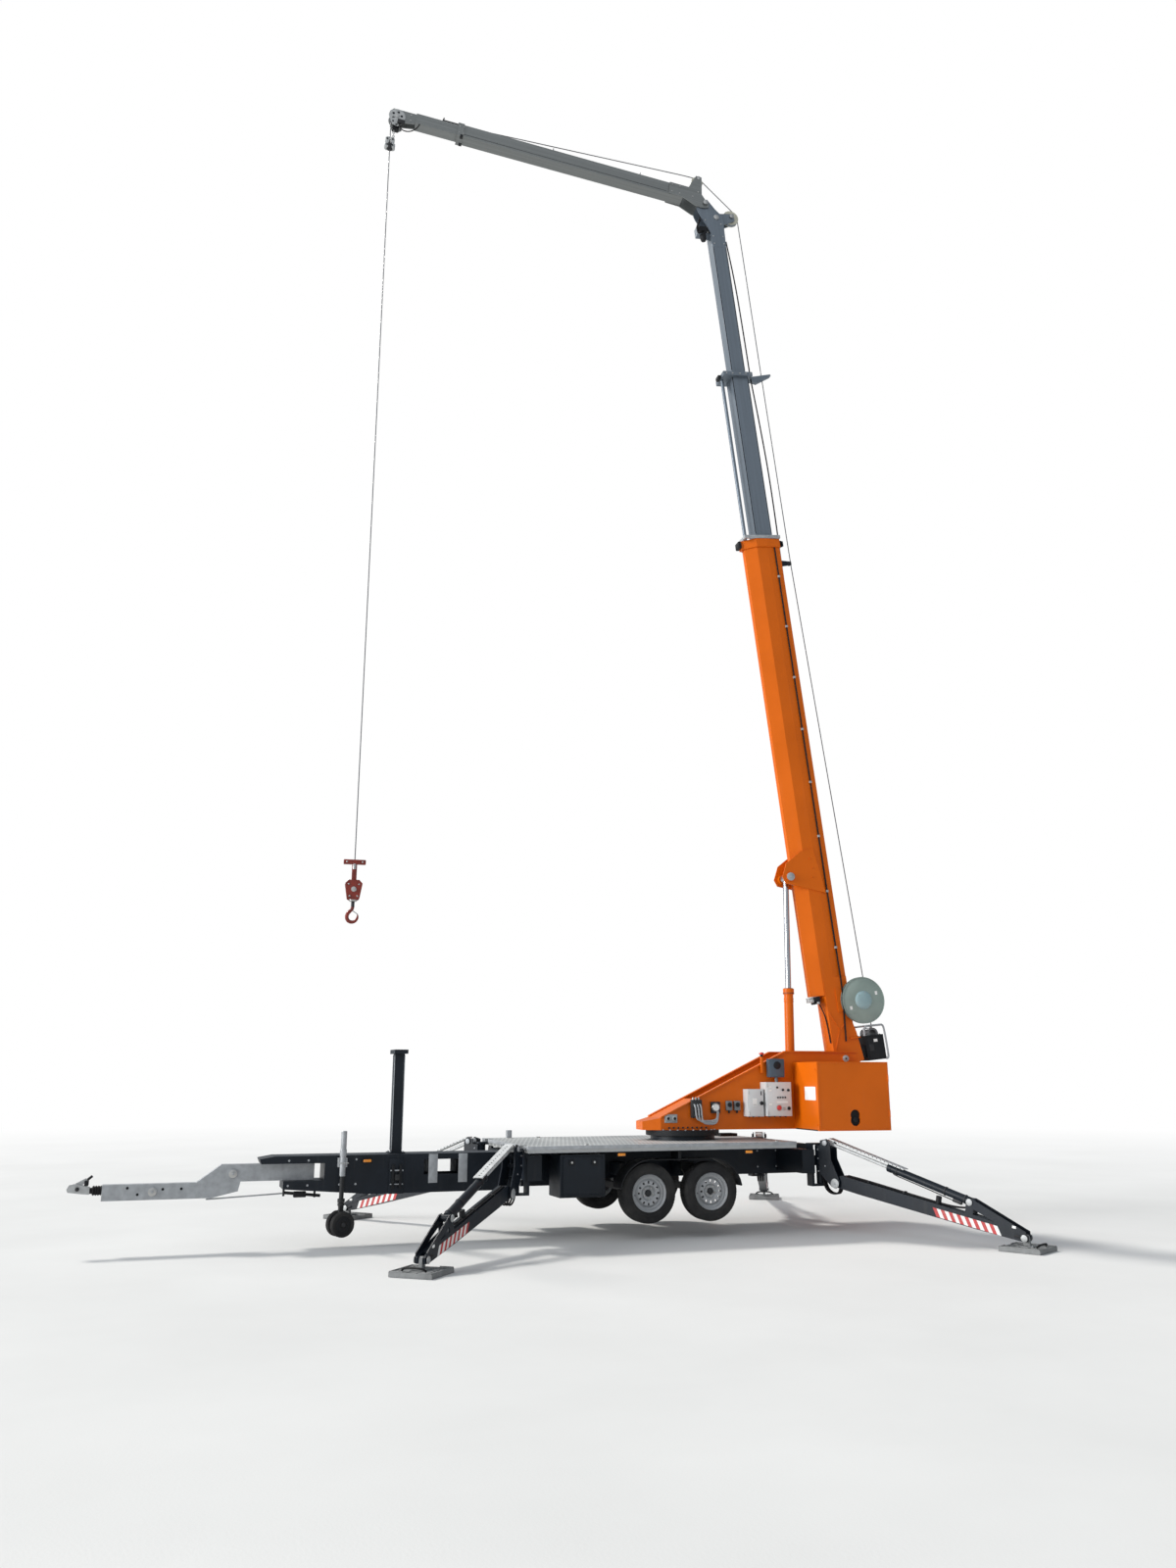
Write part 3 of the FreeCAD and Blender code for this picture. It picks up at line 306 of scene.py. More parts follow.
def noise(tree, vector, scale, detail=4.0, rough=0.55):
    node = tree.nodes.new("ShaderNodeTexNoise")
    node.inputs["Scale"].default_value = scale
    node.inputs["Detail"].default_value = detail
    node.inputs["Roughness"].default_value = rough
    tree.links.new(vector, node.inputs["Vector"])
    return node.outputs["Fac"]


def span(tree, value, low, high, out_low=0.0, out_high=1.0):
    node = tree.nodes.new("ShaderNodeMapRange")
    for key, number in (("From Min", low), ("From Max", high), ("To Min", out_low), ("To Max", out_high)):
        node.inputs[key].default_value = number
    tree.links.new(value, node.inputs["Value"])
    return node.outputs["Result"]


def blended(tree, share, first, second):
    node = tree.nodes.new("ShaderNodeMix")
    node.data_type = "RGBA"
    tree.links.new(share, node.inputs["Factor"])
    for key, colour in (("A", first), ("B", second)):
        socket = [s for s in node.inputs if s.name == key and s.type == "RGBA"][0]
        if isinstance(colour, bpy.types.NodeSocket):
            tree.links.new(colour, socket)
        else:
            socket.default_value = (*colour, 1)
    return [s for s in node.outputs if s.type == "RGBA"][0]


def bumped(tree, shader, height, distance, strength=1.0, under=None):
    node = tree.nodes.new("ShaderNodeBump")
    node.inputs["Strength"].default_value = strength
    node.inputs["Distance"].default_value = distance
    tree.links.new(height, node.inputs["Height"])
    if under is not None:
        tree.links.new(under, node.inputs["Normal"])
    tree.links.new(node.outputs["Normal"], shader.inputs["Normal"])
    return node.outputs["Normal"]


def tone(colour, k):
    return tuple(min(1.0, c * k) for c in colour)


def surface(name, colour, rough, metal=0.0, vary=0.12, patch=2.5, grain=220.0, bump=0.0003, dust=None,
            streak=None, coat=0.0, shine=0.5, grid=None, stretch=(1, 1, 1)):
    """General finish: patchy tone, dust that runs down, gloss that varies and a fine grain."""
    mat, tree, shader, obj = sheet_of_nodes(name)
    base = mapped(tree, obj, stretch, grid)
    broad = noise(tree, base, patch, 5)
    colour_out = blended(tree, span(tree, broad, 0.32, 0.68), tone(colour, 1 - vary), tone(colour, 1 + vary))
    if dust:
        runs = noise(tree, mapped(tree, obj, (7, 7, 0.7)), 1.6, 6, 0.65)
        colour_out = blended(tree, span(tree, runs, 0.56, 0.86, 0, dust[3]), colour_out, dust[:3])
    if streak:
        lines = noise(tree, mapped(tree, obj, streak, grid), 1.0, 3, 0.7)
        colour_out = blended(tree, span(tree, lines, 0.35, 0.7, 0, 0.55), colour_out, tone(colour, 0.62))
        bumped(tree, shader, lines, bump * 0.6)
    tree.links.new(colour_out, shader.inputs["Base Color"])
    fine = noise(tree, obj, grain, 3)
    tree.links.new(span(tree, broad, 0.3, 0.7, rough * 0.82, min(1.0, rough * 1.2)), shader.inputs["Roughness"])
    if not streak:
        bumped(tree, shader, fine, bump)
    shader.inputs["Metallic"].default_value = metal
    shader.inputs["Specular IOR Level"].default_value = shine
    shader.inputs["Coat Weight"].default_value = coat
    shader.inputs["Coat Roughness"].default_value = 0.12
    MAT[name] = mat
    return mat


def tread_plate(name, colour):
    """Aluminium plate with crossed raised bars, worn pale on their tops."""
    mat, tree, shader, obj = sheet_of_nodes(name)
    bars = []
    for turn in (45, -45):
        node = tree.nodes.new("ShaderNodeMapping")
        node.inputs["Rotation"].default_value = (0, 0, radians(turn))
        node.inputs["Scale"].default_value = (28, 9, 1)
        tree.links.new(obj, node.inputs["Vector"])
        cell = tree.nodes.new("ShaderNodeTexVoronoi")
        cell.inputs["Scale"].default_value = 1.0
        cell.inputs["Randomness"].default_value = 0.0
        tree.links.new(node.outputs["Vector"], cell.inputs["Vector"])
        bars.append(span(tree, cell.outputs["Distance"], 0.16, 0.3, 1, 0))
    top = tree.nodes.new("ShaderNodeMath")
    top.operation = "MAXIMUM"
    for k in (0, 1):
        tree.links.new(bars[k], top.inputs[k])
    broad = noise(tree, obj, 1.7, 6)
    ground = blended(tree, span(tree, broad, 0.35, 0.7), tone(colour, 0.72), colour)
    out = blended(tree, top.outputs[0], ground, tone(colour, 1.25))
    tree.links.new(out, shader.inputs["Base Color"])
    tree.links.new(span(tree, broad, 0.3, 0.7, 0.38, 0.62), shader.inputs["Roughness"])
    shader.inputs["Metallic"].default_value = 0.75
    bumped(tree, shader, top.outputs[0], 0.0016)
    MAT[name] = mat


def tyre_rubber(name, colour):
    """Matt rubber with road dust."""
    mat, tree, shader, obj = sheet_of_nodes(name)
    broad = noise(tree, obj, 6, 6)
    fine = noise(tree, obj, 260, 4)
    out = blended(tree, span(tree, broad, 0.4, 0.75), colour, (0.030, 0.029, 0.027))
    tree.links.new(out, shader.inputs["Base Color"])
    tree.links.new(span(tree, fine, 0.3, 0.7, 0.72, 0.92), shader.inputs["Roughness"])
    bumped(tree, shader, fine, 0.0006)
    MAT[name] = mat


def clear_plastic(name, colour, alpha):
    mat, tree, shader, obj = sheet_of_nodes(name)
    broad = noise(tree, obj, 9, 4)
    out = blended(tree, span(tree, broad, 0.3, 0.7), tone(colour, 0.85), colour)
    tree.links.new(out, shader.inputs["Base Color"])
    tree.links.new(span(tree, broad, 0.3, 0.7, 0.25, 0.45), shader.inputs["Roughness"])
    shader.inputs["Transmission Weight"].default_value = alpha
    shader.inputs["IOR"].default_value = 1.2
    bumped(tree, shader, noise(tree, obj, 120, 3), 0.0003)
    MAT[name] = mat


def wire(name, colour):
    """Twisted wire: slanted dark lines round the rope."""
    mat, tree, shader, obj = sheet_of_nodes(name)
    wave = tree.nodes.new("ShaderNodeTexWave")
    wave.bands_direction = "DIAGONAL"
    wave.inputs["Scale"].default_value = 60
    wave.inputs["Distortion"].default_value = 1.5
    tree.links.new(obj, wave.inputs["Vector"])
    out = blended(tree, wave.outputs["Fac"], tone(colour, 0.45), colour)
    tree.links.new(out, shader.inputs["Base Color"])
    tree.links.new(span(tree, noise(tree, obj, 30), 0.3, 0.7, 0.35, 0.6), shader.inputs["Roughness"])
    shader.inputs["Metallic"].default_value = 0.7
    bumped(tree, shader, wave.outputs["Fac"], 0.0008)
    MAT[name] = mat


DUST = (0.30, 0.27, 0.22)


class CraneSizes(bpy.types.PropertyGroup):
    """Sizes that a user may change before the operators run."""

    rope: FloatProperty(name="Hoist rope", description="Diameter of the hoist rope", default=0.013,
                        unit="LENGTH", subtype="DISTANCE")
    bolt: FloatProperty(name="Bolt head", description="Half width of the common bolt head", default=0.011,
                        unit="LENGTH", subtype="DISTANCE")
    tread: FloatProperty(name="Tread depth", description="Depth of the tyre tread", default=0.006,
                         unit="LENGTH", subtype="DISTANCE")
    stripe: FloatProperty(name="Stripe length", description="Length of one warning stripe", default=0.045,
                          unit="LENGTH", subtype="DISTANCE")
    blocks: IntProperty(name="Tread blocks", description="Blocks round a tyre", default=64, min=24, max=96)


class CraneColours(bpy.types.PropertyGroup):
    """Colours of the main finishes."""

    paint: FloatVectorProperty(name="Crane paint", description="Paint of turret and boom foot",
                               default=(0.64, 0.120, 0.001), size=3, subtype="COLOR", min=0, max=1)
    chassis: FloatVectorProperty(name="Chassis paint", description="Paint of frame and outriggers",
                                 default=(0.008, 0.012, 0.018), size=3, subtype="COLOR", min=0, max=1)
    alloy: FloatVectorProperty(name="Boom alloy", description="Bare extruded aluminium",
                               default=(0.165, 0.198, 0.235), size=3, subtype="COLOR", min=0, max=1)
    deck: FloatVectorProperty(name="Deck plate", description="Tread plate of the deck",
                              default=(0.52, 0.53, 0.52), size=3, subtype="COLOR", min=0, max=1)


class CRANE_OT_stage(bpy.types.Operator):
    """Floor, camera and soft light"""

    bl_idname = "crane.stage"
    bl_label = "Stage"

    def execute(self, context):
        clear()
        bpy.ops.object.camera_add(location=(SLEW.x + 5.849, 13.444, 1.693),
                                  rotation=(radians(90 + 14.05), 0, radians(-109.12 - 90)))
        camera = context.object
        camera.data.lens = 27.05
        camera.data.sensor_width = 36
        camera.data.clip_end = 500
        context.scene.camera = camera
        clear()
        bpy.ops.mesh.primitive_circle_add(vertices=96, radius=90, fill_type="NGON", location=(0, 0, -0.002))
        floor = context.object
        floor.name = "floor"
        mat, tree, shader, obj = sheet_of_nodes("pale_floor")
        broad = noise(tree, obj, 0.35, 6)
        out = blended(tree, span(tree, broad, 0.3, 0.7), (0.66, 0.66, 0.65), (0.72, 0.72, 0.71))
        tree.links.new(out, shader.inputs["Base Color"])
        shader.inputs["Roughness"].default_value = 0.85
        bumped(tree, shader, noise(tree, obj, 60, 4), 0.002, 0.4)
        far = tree.nodes.new("ShaderNodeVectorMath")
        far.operation = "LENGTH"
        tree.links.new(obj, far.inputs[0])
        fade = span(tree, far.outputs["Value"], 9, 34)
        glow = tree.nodes.new("ShaderNodeEmission")
        mix = tree.nodes.new("ShaderNodeMixShader")
        rays = tree.nodes.new("ShaderNodeLightPath")
        share = tree.nodes.new("ShaderNodeMath")
        share.operation = "MULTIPLY"
        tree.links.new(rays.outputs["Is Camera Ray"], share.inputs[0])
        tree.links.new(fade, share.inputs[1])
        tree.links.new(share.outputs[0], mix.inputs["Fac"])
        tree.links.new(shader.outputs["BSDF"], mix.inputs[1])
        tree.links.new(glow.outputs["Emission"], mix.inputs[2])
        tree.links.new(mix.outputs["Shader"], tree.nodes["Material Output"].inputs["Surface"])
        floor.data.materials.append(mat)
        # soft sun from the far side and the front, as in the photograph, and a wide sky
        clear()
        bpy.ops.object.light_add(type="SUN", location=(6, -10, 14))
        sun = context.object
        sun.data.energy = 2.4
        sun.data.angle = radians(9)
        sun.data.color = (1.0, 0.97, 0.92)
        toward = Vector((cos(radians(-63)) * cos(radians(47)), sin(radians(-63)) * cos(radians(47)), sin(radians(47))))
        sun.rotation_euler = toward.to_track_quat("Z", "Y").to_euler()
        for place, power, spread, toward in (((12, 2, 6), 2.6, 30, (1.0, 0.04, 0.24)),
                                             ((-6, 12, 10), 0.36, 60, (0.35, 1.0, 0.75))):
            clear()
            bpy.ops.object.light_add(type="SUN", location=place)
            fill = context.object
            fill.data.energy = power
            fill.data.angle = radians(spread)
            fill.rotation_euler = Vector(toward).to_track_quat("Z", "Y").to_euler()
        world = bpy.data.worlds.new("soft_sky")
        context.scene.world = world
        world.use_nodes = True
        tree = world.node_tree
        sky = tree.nodes["Background"]
        sky.inputs["Color"].default_value = (0.80, 0.87, 0.95, 1)
        sky.inputs["Strength"].default_value = 0.47
        white = tree.nodes.new("ShaderNodeBackground")
        white.inputs["Color"].default_value = (1, 1, 1, 1)
        rays = tree.nodes.new("ShaderNodeLightPath")
        seen = tree.nodes.new("ShaderNodeMath")
        seen.operation = "MAXIMUM"
        tree.links.new(rays.outputs["Is Camera Ray"], seen.inputs[0])
        tree.links.new(rays.outputs["Is Transmission Ray"], seen.inputs[1])
        mix = tree.nodes.new("ShaderNodeMixShader")
        tree.links.new(seen.outputs[0], mix.inputs["Fac"])
        tree.links.new(sky.outputs["Background"], mix.inputs[1])
        tree.links.new(white.outputs["Background"], mix.inputs[2])
        tree.links.new(mix.outputs["Shader"], tree.nodes["World Output"].inputs["Surface"])
        context.scene.view_settings.view_transform = "Standard"
        return {"FINISHED"}


class CRANE_OT_finishes(bpy.types.Operator):
    """Paints, metals, rubber and plastics, and their place on the frame's pieces"""

    bl_idname = "crane.finishes"
    bl_label = "Finishes"

    def execute(self, context):
        c = context.scene.crane_colours
        paint, chassis, alloy = tuple(c.paint), tuple(c.chassis), tuple(c.alloy)
        surface("paint", paint, 0.40, vary=0.06, patch=1.4, bump=0.00012, dust=(*DUST, 0.05), coat=0.05, shine=0.2)
        surface("dark_paint", chassis, 0.42, vary=0.25, patch=3.0, bump=0.0002, dust=(*DUST, 0.07), shine=0.25)
        surface("axle_paint", (0.008, 0.009, 0.010), 0.6, vary=0.25, dust=(*DUST, 0.15))
        surface("zinc", (0.36, 0.375, 0.39), 0.5, metal=0.25, vary=0.16, patch=14, grain=90, bump=0.0003)
        surface("cast", (0.030, 0.031, 0.033), 0.55, metal=0.4, vary=0.25, patch=8, grain=120, bump=0.0008)
        surface("rubber", (0.006, 0.006, 0.007), 0.7, vary=0.2, grain=300, bump=0.0004, shine=0.3)
        surface("plastic", (0.007, 0.008, 0.010), 0.55, vary=0.2, grain=420, bump=0.0004, shine=0.3)
        surface("pad_plastic", (0.20, 0.205, 0.205), 0.75, vary=0.22, patch=9, grain=150, bump=0.001,
                dust=(0.05, 0.05, 0.05, 0.4))
        surface("silver", (0.34, 0.35, 0.36), 0.42, metal=0.35, vary=0.1, patch=9, dust=(0.06, 0.055, 0.05, 0.35))
        surface("casting", (0.42, 0.43, 0.43), 0.5, metal=0.3, vary=0.15, patch=20, bump=0.0006)
        surface("rail_zinc", (0.52, 0.53, 0.53), 0.5, metal=0.15, vary=0.14, patch=14, grain=90, bump=0.0003)
        surface("nylon", (0.50, 0.49, 0.40), 0.55, vary=0.12, patch=14, bump=0.0003, dust=(0.16, 0.09, 0.06, 0.3))
        surface("hub_blue", (0.26, 0.38, 0.40), 0.35, vary=0.08, patch=5, bump=0.0001, coat=0.3)
        surface("reel_haze", (0.23, 0.29, 0.26), 0.32, vary=0.14, patch=3, bump=0.0002, coat=0.3)
        surface("grey_box", (0.60, 0.61, 0.61), 0.5, vary=0.05, patch=4, bump=0.0003, dust=(*DUST, 0.15))
        surface("blue_box", (0.055, 0.085, 0.115), 0.5, vary=0.12, patch=6, bump=0.0003)
        surface("chrome", (0.50, 0.51, 0.53), 0.20, metal=1.0, vary=0.04, patch=3, bump=0.00005)
        surface("steel", (0.46, 0.46, 0.45), 0.34, metal=0.85, vary=0.1, patch=20, bump=0.0002)
        surface("hook_red", (0.19, 0.018, 0.008), 0.45, vary=0.3, patch=12, bump=0.0005, dust=(0.03, 0.025, 0.02, 0.5))
        surface("label", (0.78, 0.78, 0.76), 0.5, vary=0.03, bump=0.0001)
        surface("stripe_red", (0.46, 0.022, 0.022), 0.4, vary=0.1, patch=8, dust=(*DUST, 0.2))
        surface("stripe_white", (0.74, 0.74, 0.72), 0.4, vary=0.08, patch=8, dust=(*DUST, 0.3))
        surface("amber", (0.85, 0.28, 0.01), 0.2, vary=0.1, patch=40, bump=0.0004, coat=0.6)
        surface("lens_red", (0.55, 0.015, 0.015), 0.2, vary=0.1, patch=40, bump=0.0004, coat=0.6)
        surface("red_knob", (0.55, 0.02, 0.015), 0.35, vary=0.06, coat=0.3)
        surface("hose_grey", (0.16, 0.17, 0.18), 0.5, vary=0.15, grain=260, bump=0.0004)
        worn = (alloy[0] * 1.25, alloy[1] * 1.10, alloy[2] * 0.92)
        for name, colour, grid in (("boom_alloy", alloy, BOOM), ("jib_alloy", worn, JIB)):
            surface(name, colour, 0.40, metal=0.45, vary=0.06, patch=0.8, bump=0.00025, grid=grid,
                    stretch=(0.5, 3, 3), streak=(0.35, 55, 55))
        tread_plate("deck_plate", tuple(c.deck))
        tyre_rubber("tyre", (0.006, 0.006, 0.007))
        clear_plastic("reel_clear", (0.40, 0.52, 0.46), 0.35)
        wire("wire", (0.26, 0.26, 0.27))
        by_slot = {
            "chassis_anthracite": "dark_paint", "deck_aluminium": "deck_plate", "galvanised_steel": "zinc",
            "rubber_black": "rubber", "cast_steel": "cast", "axle_steel": "axle_paint",
            "black_plastic": "plastic", "rubber_tyre": "tyre", "wheel_silver": "silver",
            "crane_orange": "paint", "grey_enclosure": "grey_box", "chromed_rod": "chrome",
            "reel_plastic": "reel_clear", "boom_aluminium": "boom_alloy", "wire_rope": "wire",
            "hook_red": "hook_red", "pad_plastic": "pad_plastic",
        }
        slots = {s["node"]: s["material_slot"] for s in frame["record"]["subparts"]}
        for node, ob in frame["nodes"].items():
            finish = by_slot[slots[node]]
            if node.startswith("jib_"):
                finish = "jib_alloy"
            if node == "coupling_head":
                finish = "casting"
            if node.startswith("leg_rod"):
                finish = "rail_zinc"
            if node == "slew_ring":
                finish = "plastic"
            for k in range(len(ob.material_slots)):
                ob.material_slots[k].material = MAT[finish]
        return {"FINISHED"}


class CRANE_OT_tyres(bpy.types.Operator):
    """Four tyres with tread blocks and moulded walls"""

    bl_idname = "crane.tyres"
    bl_label = "Tyres"

    def execute(self, context):
        sizes = context.scene.crane_sizes
        for corner in WHEELS:
            hub = at("wheel_spin_" + corner)
            side = 1 if hub.y > 0 else -1
            low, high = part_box("tyre_" + corner)
            radius = (high.x - low.x) / 2
            half = (high.y - low.y) / 2
            base = radius - sizes.tread
            seat = 0.181
            wall = [(seat, half - 0.014), (seat + 0.022, half - 0.004), (seat + 0.03, half - 0.0075),
                    (seat + 0.045, half - 0.001), (seat + 0.07, half), (seat + 0.076, half - 0.003),
                    (seat + 0.094, half - 0.003), (base - 0.014, half - 0.008), (base - 0.003, half - 0.016)]
            tread = [(base, half - 0.026), (base, 0.030), (base, -0.030), (base, 0.026 - half)]
            outline = wall + tread + [(r, -h) for r, h in reversed(wall)]
            ob = spun("tyre", outline, (0, 0, 0), (0, 0, 1), sizes.blocks)
            clear()
            ob.select_set(True)
            context.view_layer.objects.active = ob
            for face in ob.data.polygons:
                c = face.center
                face.select = hypot(c.x, c.y) > base * 0.985 and abs(c.z) < half - 0.02
            for edge in ob.data.edges:
                edge.select = False
            for vertex in ob.data.vertices:
                vertex.select = False
            context.tool_settings.mesh_select_mode = (False, False, True)
            editing(True)
            bpy.ops.mesh.inset(thickness=0.0028, depth=sizes.tread * 0.97, use_individual=True)
            editing(False)
            context.tool_settings.mesh_select_mode = (True, False, False)
            turn = UP.rotation_difference(Vector((0, side, 0))).to_matrix().to_4x4()
            fit("treaded_tyre_" + corner, "wheel_" + corner,
                Matrix.Translation(hub) @ turn, ("tyre_" + corner,))
        return {"FINISHED"}


class CRANE_OT_wheels(bpy.types.Operator):
    """Wheel nuts, centre caps, valves and rim flanges"""

    bl_idname = "crane.wheels"
    bl_label = "Wheel fittings"

    def execute(self, context):
        for corner in WHEELS:
            hub = at("wheel_spin_" + corner)
            side = 1 if hub.y > 0 else -1
            # height along the axle, outwards from the wheel's middle
            for k in range(5):
                a = 2 * pi * k / 5 + 0.4
                place = (0.056 * cos(a), 0.056 * sin(a), 0.0465)
                turned("steel", [(0.0125, 0), (0.0125, 0.004), (0.0105, 0.005)], place, UP, 16)
                turned("steel", [(0.0100, 0.004), (0.0100, 0.016), (0.0075, 0.020)], place, UP, 6)
            turned("cast", [(0.036, 0.046), (0.036, 0.056), (0.030, 0.066), (0.014, 0.070)], (0, 0, 0), UP, 32)
            spun("silver", [(0.181, 0.071), (0.192, 0.083), (0.1955, 0.089), (0.1975, 0.0885), (0.1945, 0.081),
                            (0.184, 0.069)], (0, 0, 0), UP, 72)
            turned("rubber", [(0.005, 0.036), (0.005, 0.060), (0.003, 0.070)], (0.158, 0.02, 0), (0, 0, 1), 10)
            for k in range(6):
                a = 2 * pi * k / 6 + 0.1
                turned("zinc", [(0.004, 0.0385), (0.004, 0.0415)], (0.074 * cos(a), 0.074 * sin(a), 0), UP, 8)
            turn = UP.rotation_difference(Vector((0, side, 0))).to_matrix().to_4x4()
            fit("wheel_fittings_" + corner, "wheel_" + corner, Matrix.Translation(hub) @ turn)
        return {"FINISHED"}


class CRANE_OT_trailer(bpy.types.Operator):
    """Deck edge, lamps, lockers, rest, latch bars and drawbar fittings"""

    bl_idname = "crane.trailer"
    bl_label = "Trailer fittings"

    def execute(self, context):
        size = context.scene.crane_sizes.bolt
        # deck edge profile and rivets
        for side in (-1, 1):
            y0, y1 = sorted((side * 0.983, side * 0.989))
            block("zinc", (-1.402, y0, 0.962), (1.777, y1, 1.001))
            block("zinc", (-1.402, y0, 0.930), (1.777, y1, 0.938))
            for k in range(16):
                turned("steel", [(0.006, 0), (0.006, 0.001), (0.003, 0.004)],
                       (-1.30 + 0.2 * k, side * 0.985, 0.950), (0, side, 0), 8)
        for y0, y1 in ((-0.985, -0.83), (-0.69, 0.69), (0.83, 0.985)):
            block("zinc", (1.774, y0, 0.962), (1.781, y1, 1.001))
        block("zinc", (-1.406, -0.985, 0.962), (-1.399, 0.985, 1.001))
        fit("deck_edge", "chassis", TRAILER)
        # things that stand on the deck
        block("zinc", (1.44, -0.93, 1.0), (1.50, -0.87, 1.09))
        block("plastic", (-1.35, -0.62, 1.0), (-1.12, -0.42, 1.035))
        for x, y in ((1.1, 0.9), (1.1, -0.9), (-1.2, 0.9), (-1.2, -0.9)):
            spun("steel", [(0.018, -0.004), (0.026, -0.004), (0.026, 0.004), (0.018, 0.004)], (x, y, 1.006), UP, 20)
        fit("deck_fittings", "chassis", TRAILER)
        # side lamps and tail lamps
        for x, y, z in ((3.34, 0.215, 0.845), (0.725, 0.968, 0.899), (-0.80, 0.968, 0.899)):
            for side in (-1, 1):
                y0, y1 = sorted((side * y, side * (y + 0.016)))
                block("plastic", (x - 0.05, y0, z - 0.02), (x + 0.05, y1, z + 0.02))
                y0, y1 = sorted((side * (y + 0.012), side * (y + 0.024)))
                block("amber", (x - 0.042, y0, z - 0.014), (x + 0.042, y1, z + 0.014), 0.004)
        for side in (-1, 1):
            y0, y1 = sorted((side * 0.42, side * 0.63))
            block("plastic", (-2.045, y0, 0.69), (-2.018, y1, 0.80), 0.006)
            for j, glass in enumerate(("lens_red", "amber", "lens_red")):
                a = side * (0.43 + 0.066 * j)
                b = side * (0.43 + 0.066 * j + 0.06)
                lo, hi = sorted((a, b))
                block(glass, (-2.056, lo, 0.70), (-2.040, hi, 0.79), 0.004)
            block("lens_red", (-2.028, min(side * 0.30, side * 0.36), 0.71),
                  (-2.016, max(side * 0.30, side * 0.36), 0.77), 0.004)
        block("label", (-2.026, -0.13, 0.70), (-2.019, 0.13, 0.79))
        fit("lamps", "chassis", TRAILER)
        # lockers: door frame, latches and hinges
        for side in (-1, 1):
            face = side * 0.962
            y0, y1 = sorted((face, face + side * 0.004))
            for lo, hi in (((0.935, 0.495), (1.380, 0.505)), ((0.935, 0.870), (1.380, 0.880)),
                           ((0.935, 0.495), (0.945, 0.880)), ((1.370, 0.495), (1.380, 0.880))):
                block("dark_paint", (lo[0], y0, lo[1]), (hi[0], y1, hi[1]), 0.001)
            for x in (1.03, 1.285):
                y0, y1 = sorted((face, face + side * 0.012))
                block("plastic", (x - 0.03, y0, 0.80), (x + 0.03, y1, 0.855), 0.004)
                turned("steel", [(0.012, 0), (0.012, 0.004), (0.008, 0.006)], (x, face + side * 0.011, 0.828),
                       (0, side, 0), 16)
                bar("dark_paint", (x - 0.05, face + side * 0.004, 0.498), (x + 0.05, face + side * 0.004, 0.498), 0.007)
        fit("locker_fittings", "chassis", TRAILER)
        # frame: latch bars beside the box and bolts of the beams
        for side in (-1, 1):
            for x0, x1 in ((2.57, 2.67), (2.24, 2.34)):
                y0, y1 = sorted((side * 0.200, side * 0.206))
                block("zinc", (x0, y0, 0.60), (x1, y1, 0.90))
            y0, y1 = sorted((side * 0.200, side * 0.214))
            block("dark_paint", (2.94, y0, 0.50), (3.10, y1, 0.86))
            for x in (2.965, 3.045):
                block("plastic", (x, min(side * 0.214, side * 0.245), 0.55),
                      (x + 0.03, max(side * 0.214, side * 0.245), 0.80))
            bar("zinc", (2.95, side * 0.236, 0.74), (3.09, side * 0.236, 0.74), 0.008)
            bar("zinc", (2.95, side * 0.236, 0.60), (3.09, side * 0.236, 0.60), 0.006)
            block("cast", (2.99, min(side * 0.214, side * 0.256), 0.64), (3.04, max(side * 0.214, side * 0.256), 0.70))
            for x in (1.60, 1.25, -1.30, -1.55):
                for z in (0.68, 0.86):
                    bolt("zinc", (x, side * 0.200, z), (0, side, 0), size)
            for x in (3.45, 3.62, 3.95, 4.15):
                bolt("zinc", (x, side * 0.200, 0.86), (0, side, 0), size)
                bolt("zinc", (x, side * 0.200, 0.61), (0, side, 0), size)
        fit("frame_fittings", "chassis", TRAILER)
        # boom rest: rubber bed and bright edges
        block("rubber", (2.93, -0.145, 2.0), (3.07, 0.145, 2.007))
        for x in (2.944, 3.056):
            for y in (-0.05, 0.05):
                block("zinc", (x - 0.004, y - 0.004, 0.94), (x + 0.004, y + 0.004, 1.95), 0.001)
        for x in (2.93, 3.07):
            for y in (-0.07, 0.07):
                bolt("zinc", (x, y, 0.920), UP, size)
        fit("rest_fittings", "chassis", TRAILER)
        # drawbar: pins with clips, brake rod and lever, plug holder
        for x, z in ((5.48, 0.578), (4.70, 0.735)):
            for side in (-1, 1):
                turned("steel", [(0.042, 0.072), (0.042, 0.080), (0.030, 0.084)], (x, 0, z), (0, side, 0), 28)
                bolt("zinc", (x, side * 0.083, z), (0, side, 0), 0.013)
        bar("zinc", (4.95, -0.045, 0.480), (4.10, -0.045, 0.520), 0.008)
        # flat dark discs on both sides of the drawbar stand for holes in it: painted shade
        for x, z in ((5.20, 0.600), (5.38, 0.600), (5.62, 0.555), (5.72, 0.620)):
            for side in (-1, 1):
                turned("plastic", [(0.014, 0.0600), (0.014, 0.0612)], (x, 0, z), (0, side, 0), 16)
        bar("plastic", (4.18, 0.09, 0.535), (3.80, 0.09, 0.495), 0.016)
        bar("cast", (4.18, 0.09, 0.60), (4.18, 0.09, 0.50), 0.012)
        bar("cast", (3.86, 0.09, 0.56), (3.86, 0.09, 0.48), 0.012)
        block("plastic", (3.95, 0.07, 0.485), (4.08, 0.13, 0.545), 0.008)
        for x in (5.02, 5.90):
            for side in (-1, 1):
                for z in (0.53, 0.63):
                    bolt("zinc", (x, side * 0.060, z), (0, side, 0), 0.009)
        block("plastic", (6.09, -0.03, 0.650), (6.13, 0.03, 0.70), 0.004)
        bar("plastic", (6.105, 0, 0.705), (6.06, 0, 0.742), 0.013)
        turned("cast", [(0.020, 0), (0.020, 0.012), (0.014, 0.016)], (6.19, 0.042, 0.62), (0, 1, 0), 20)
        turned("cast", [(0.020, 0), (0.020, 0.012), (0.014, 0.016)], (6.19, -0.042, 0.62), (0, -1, 0), 20)
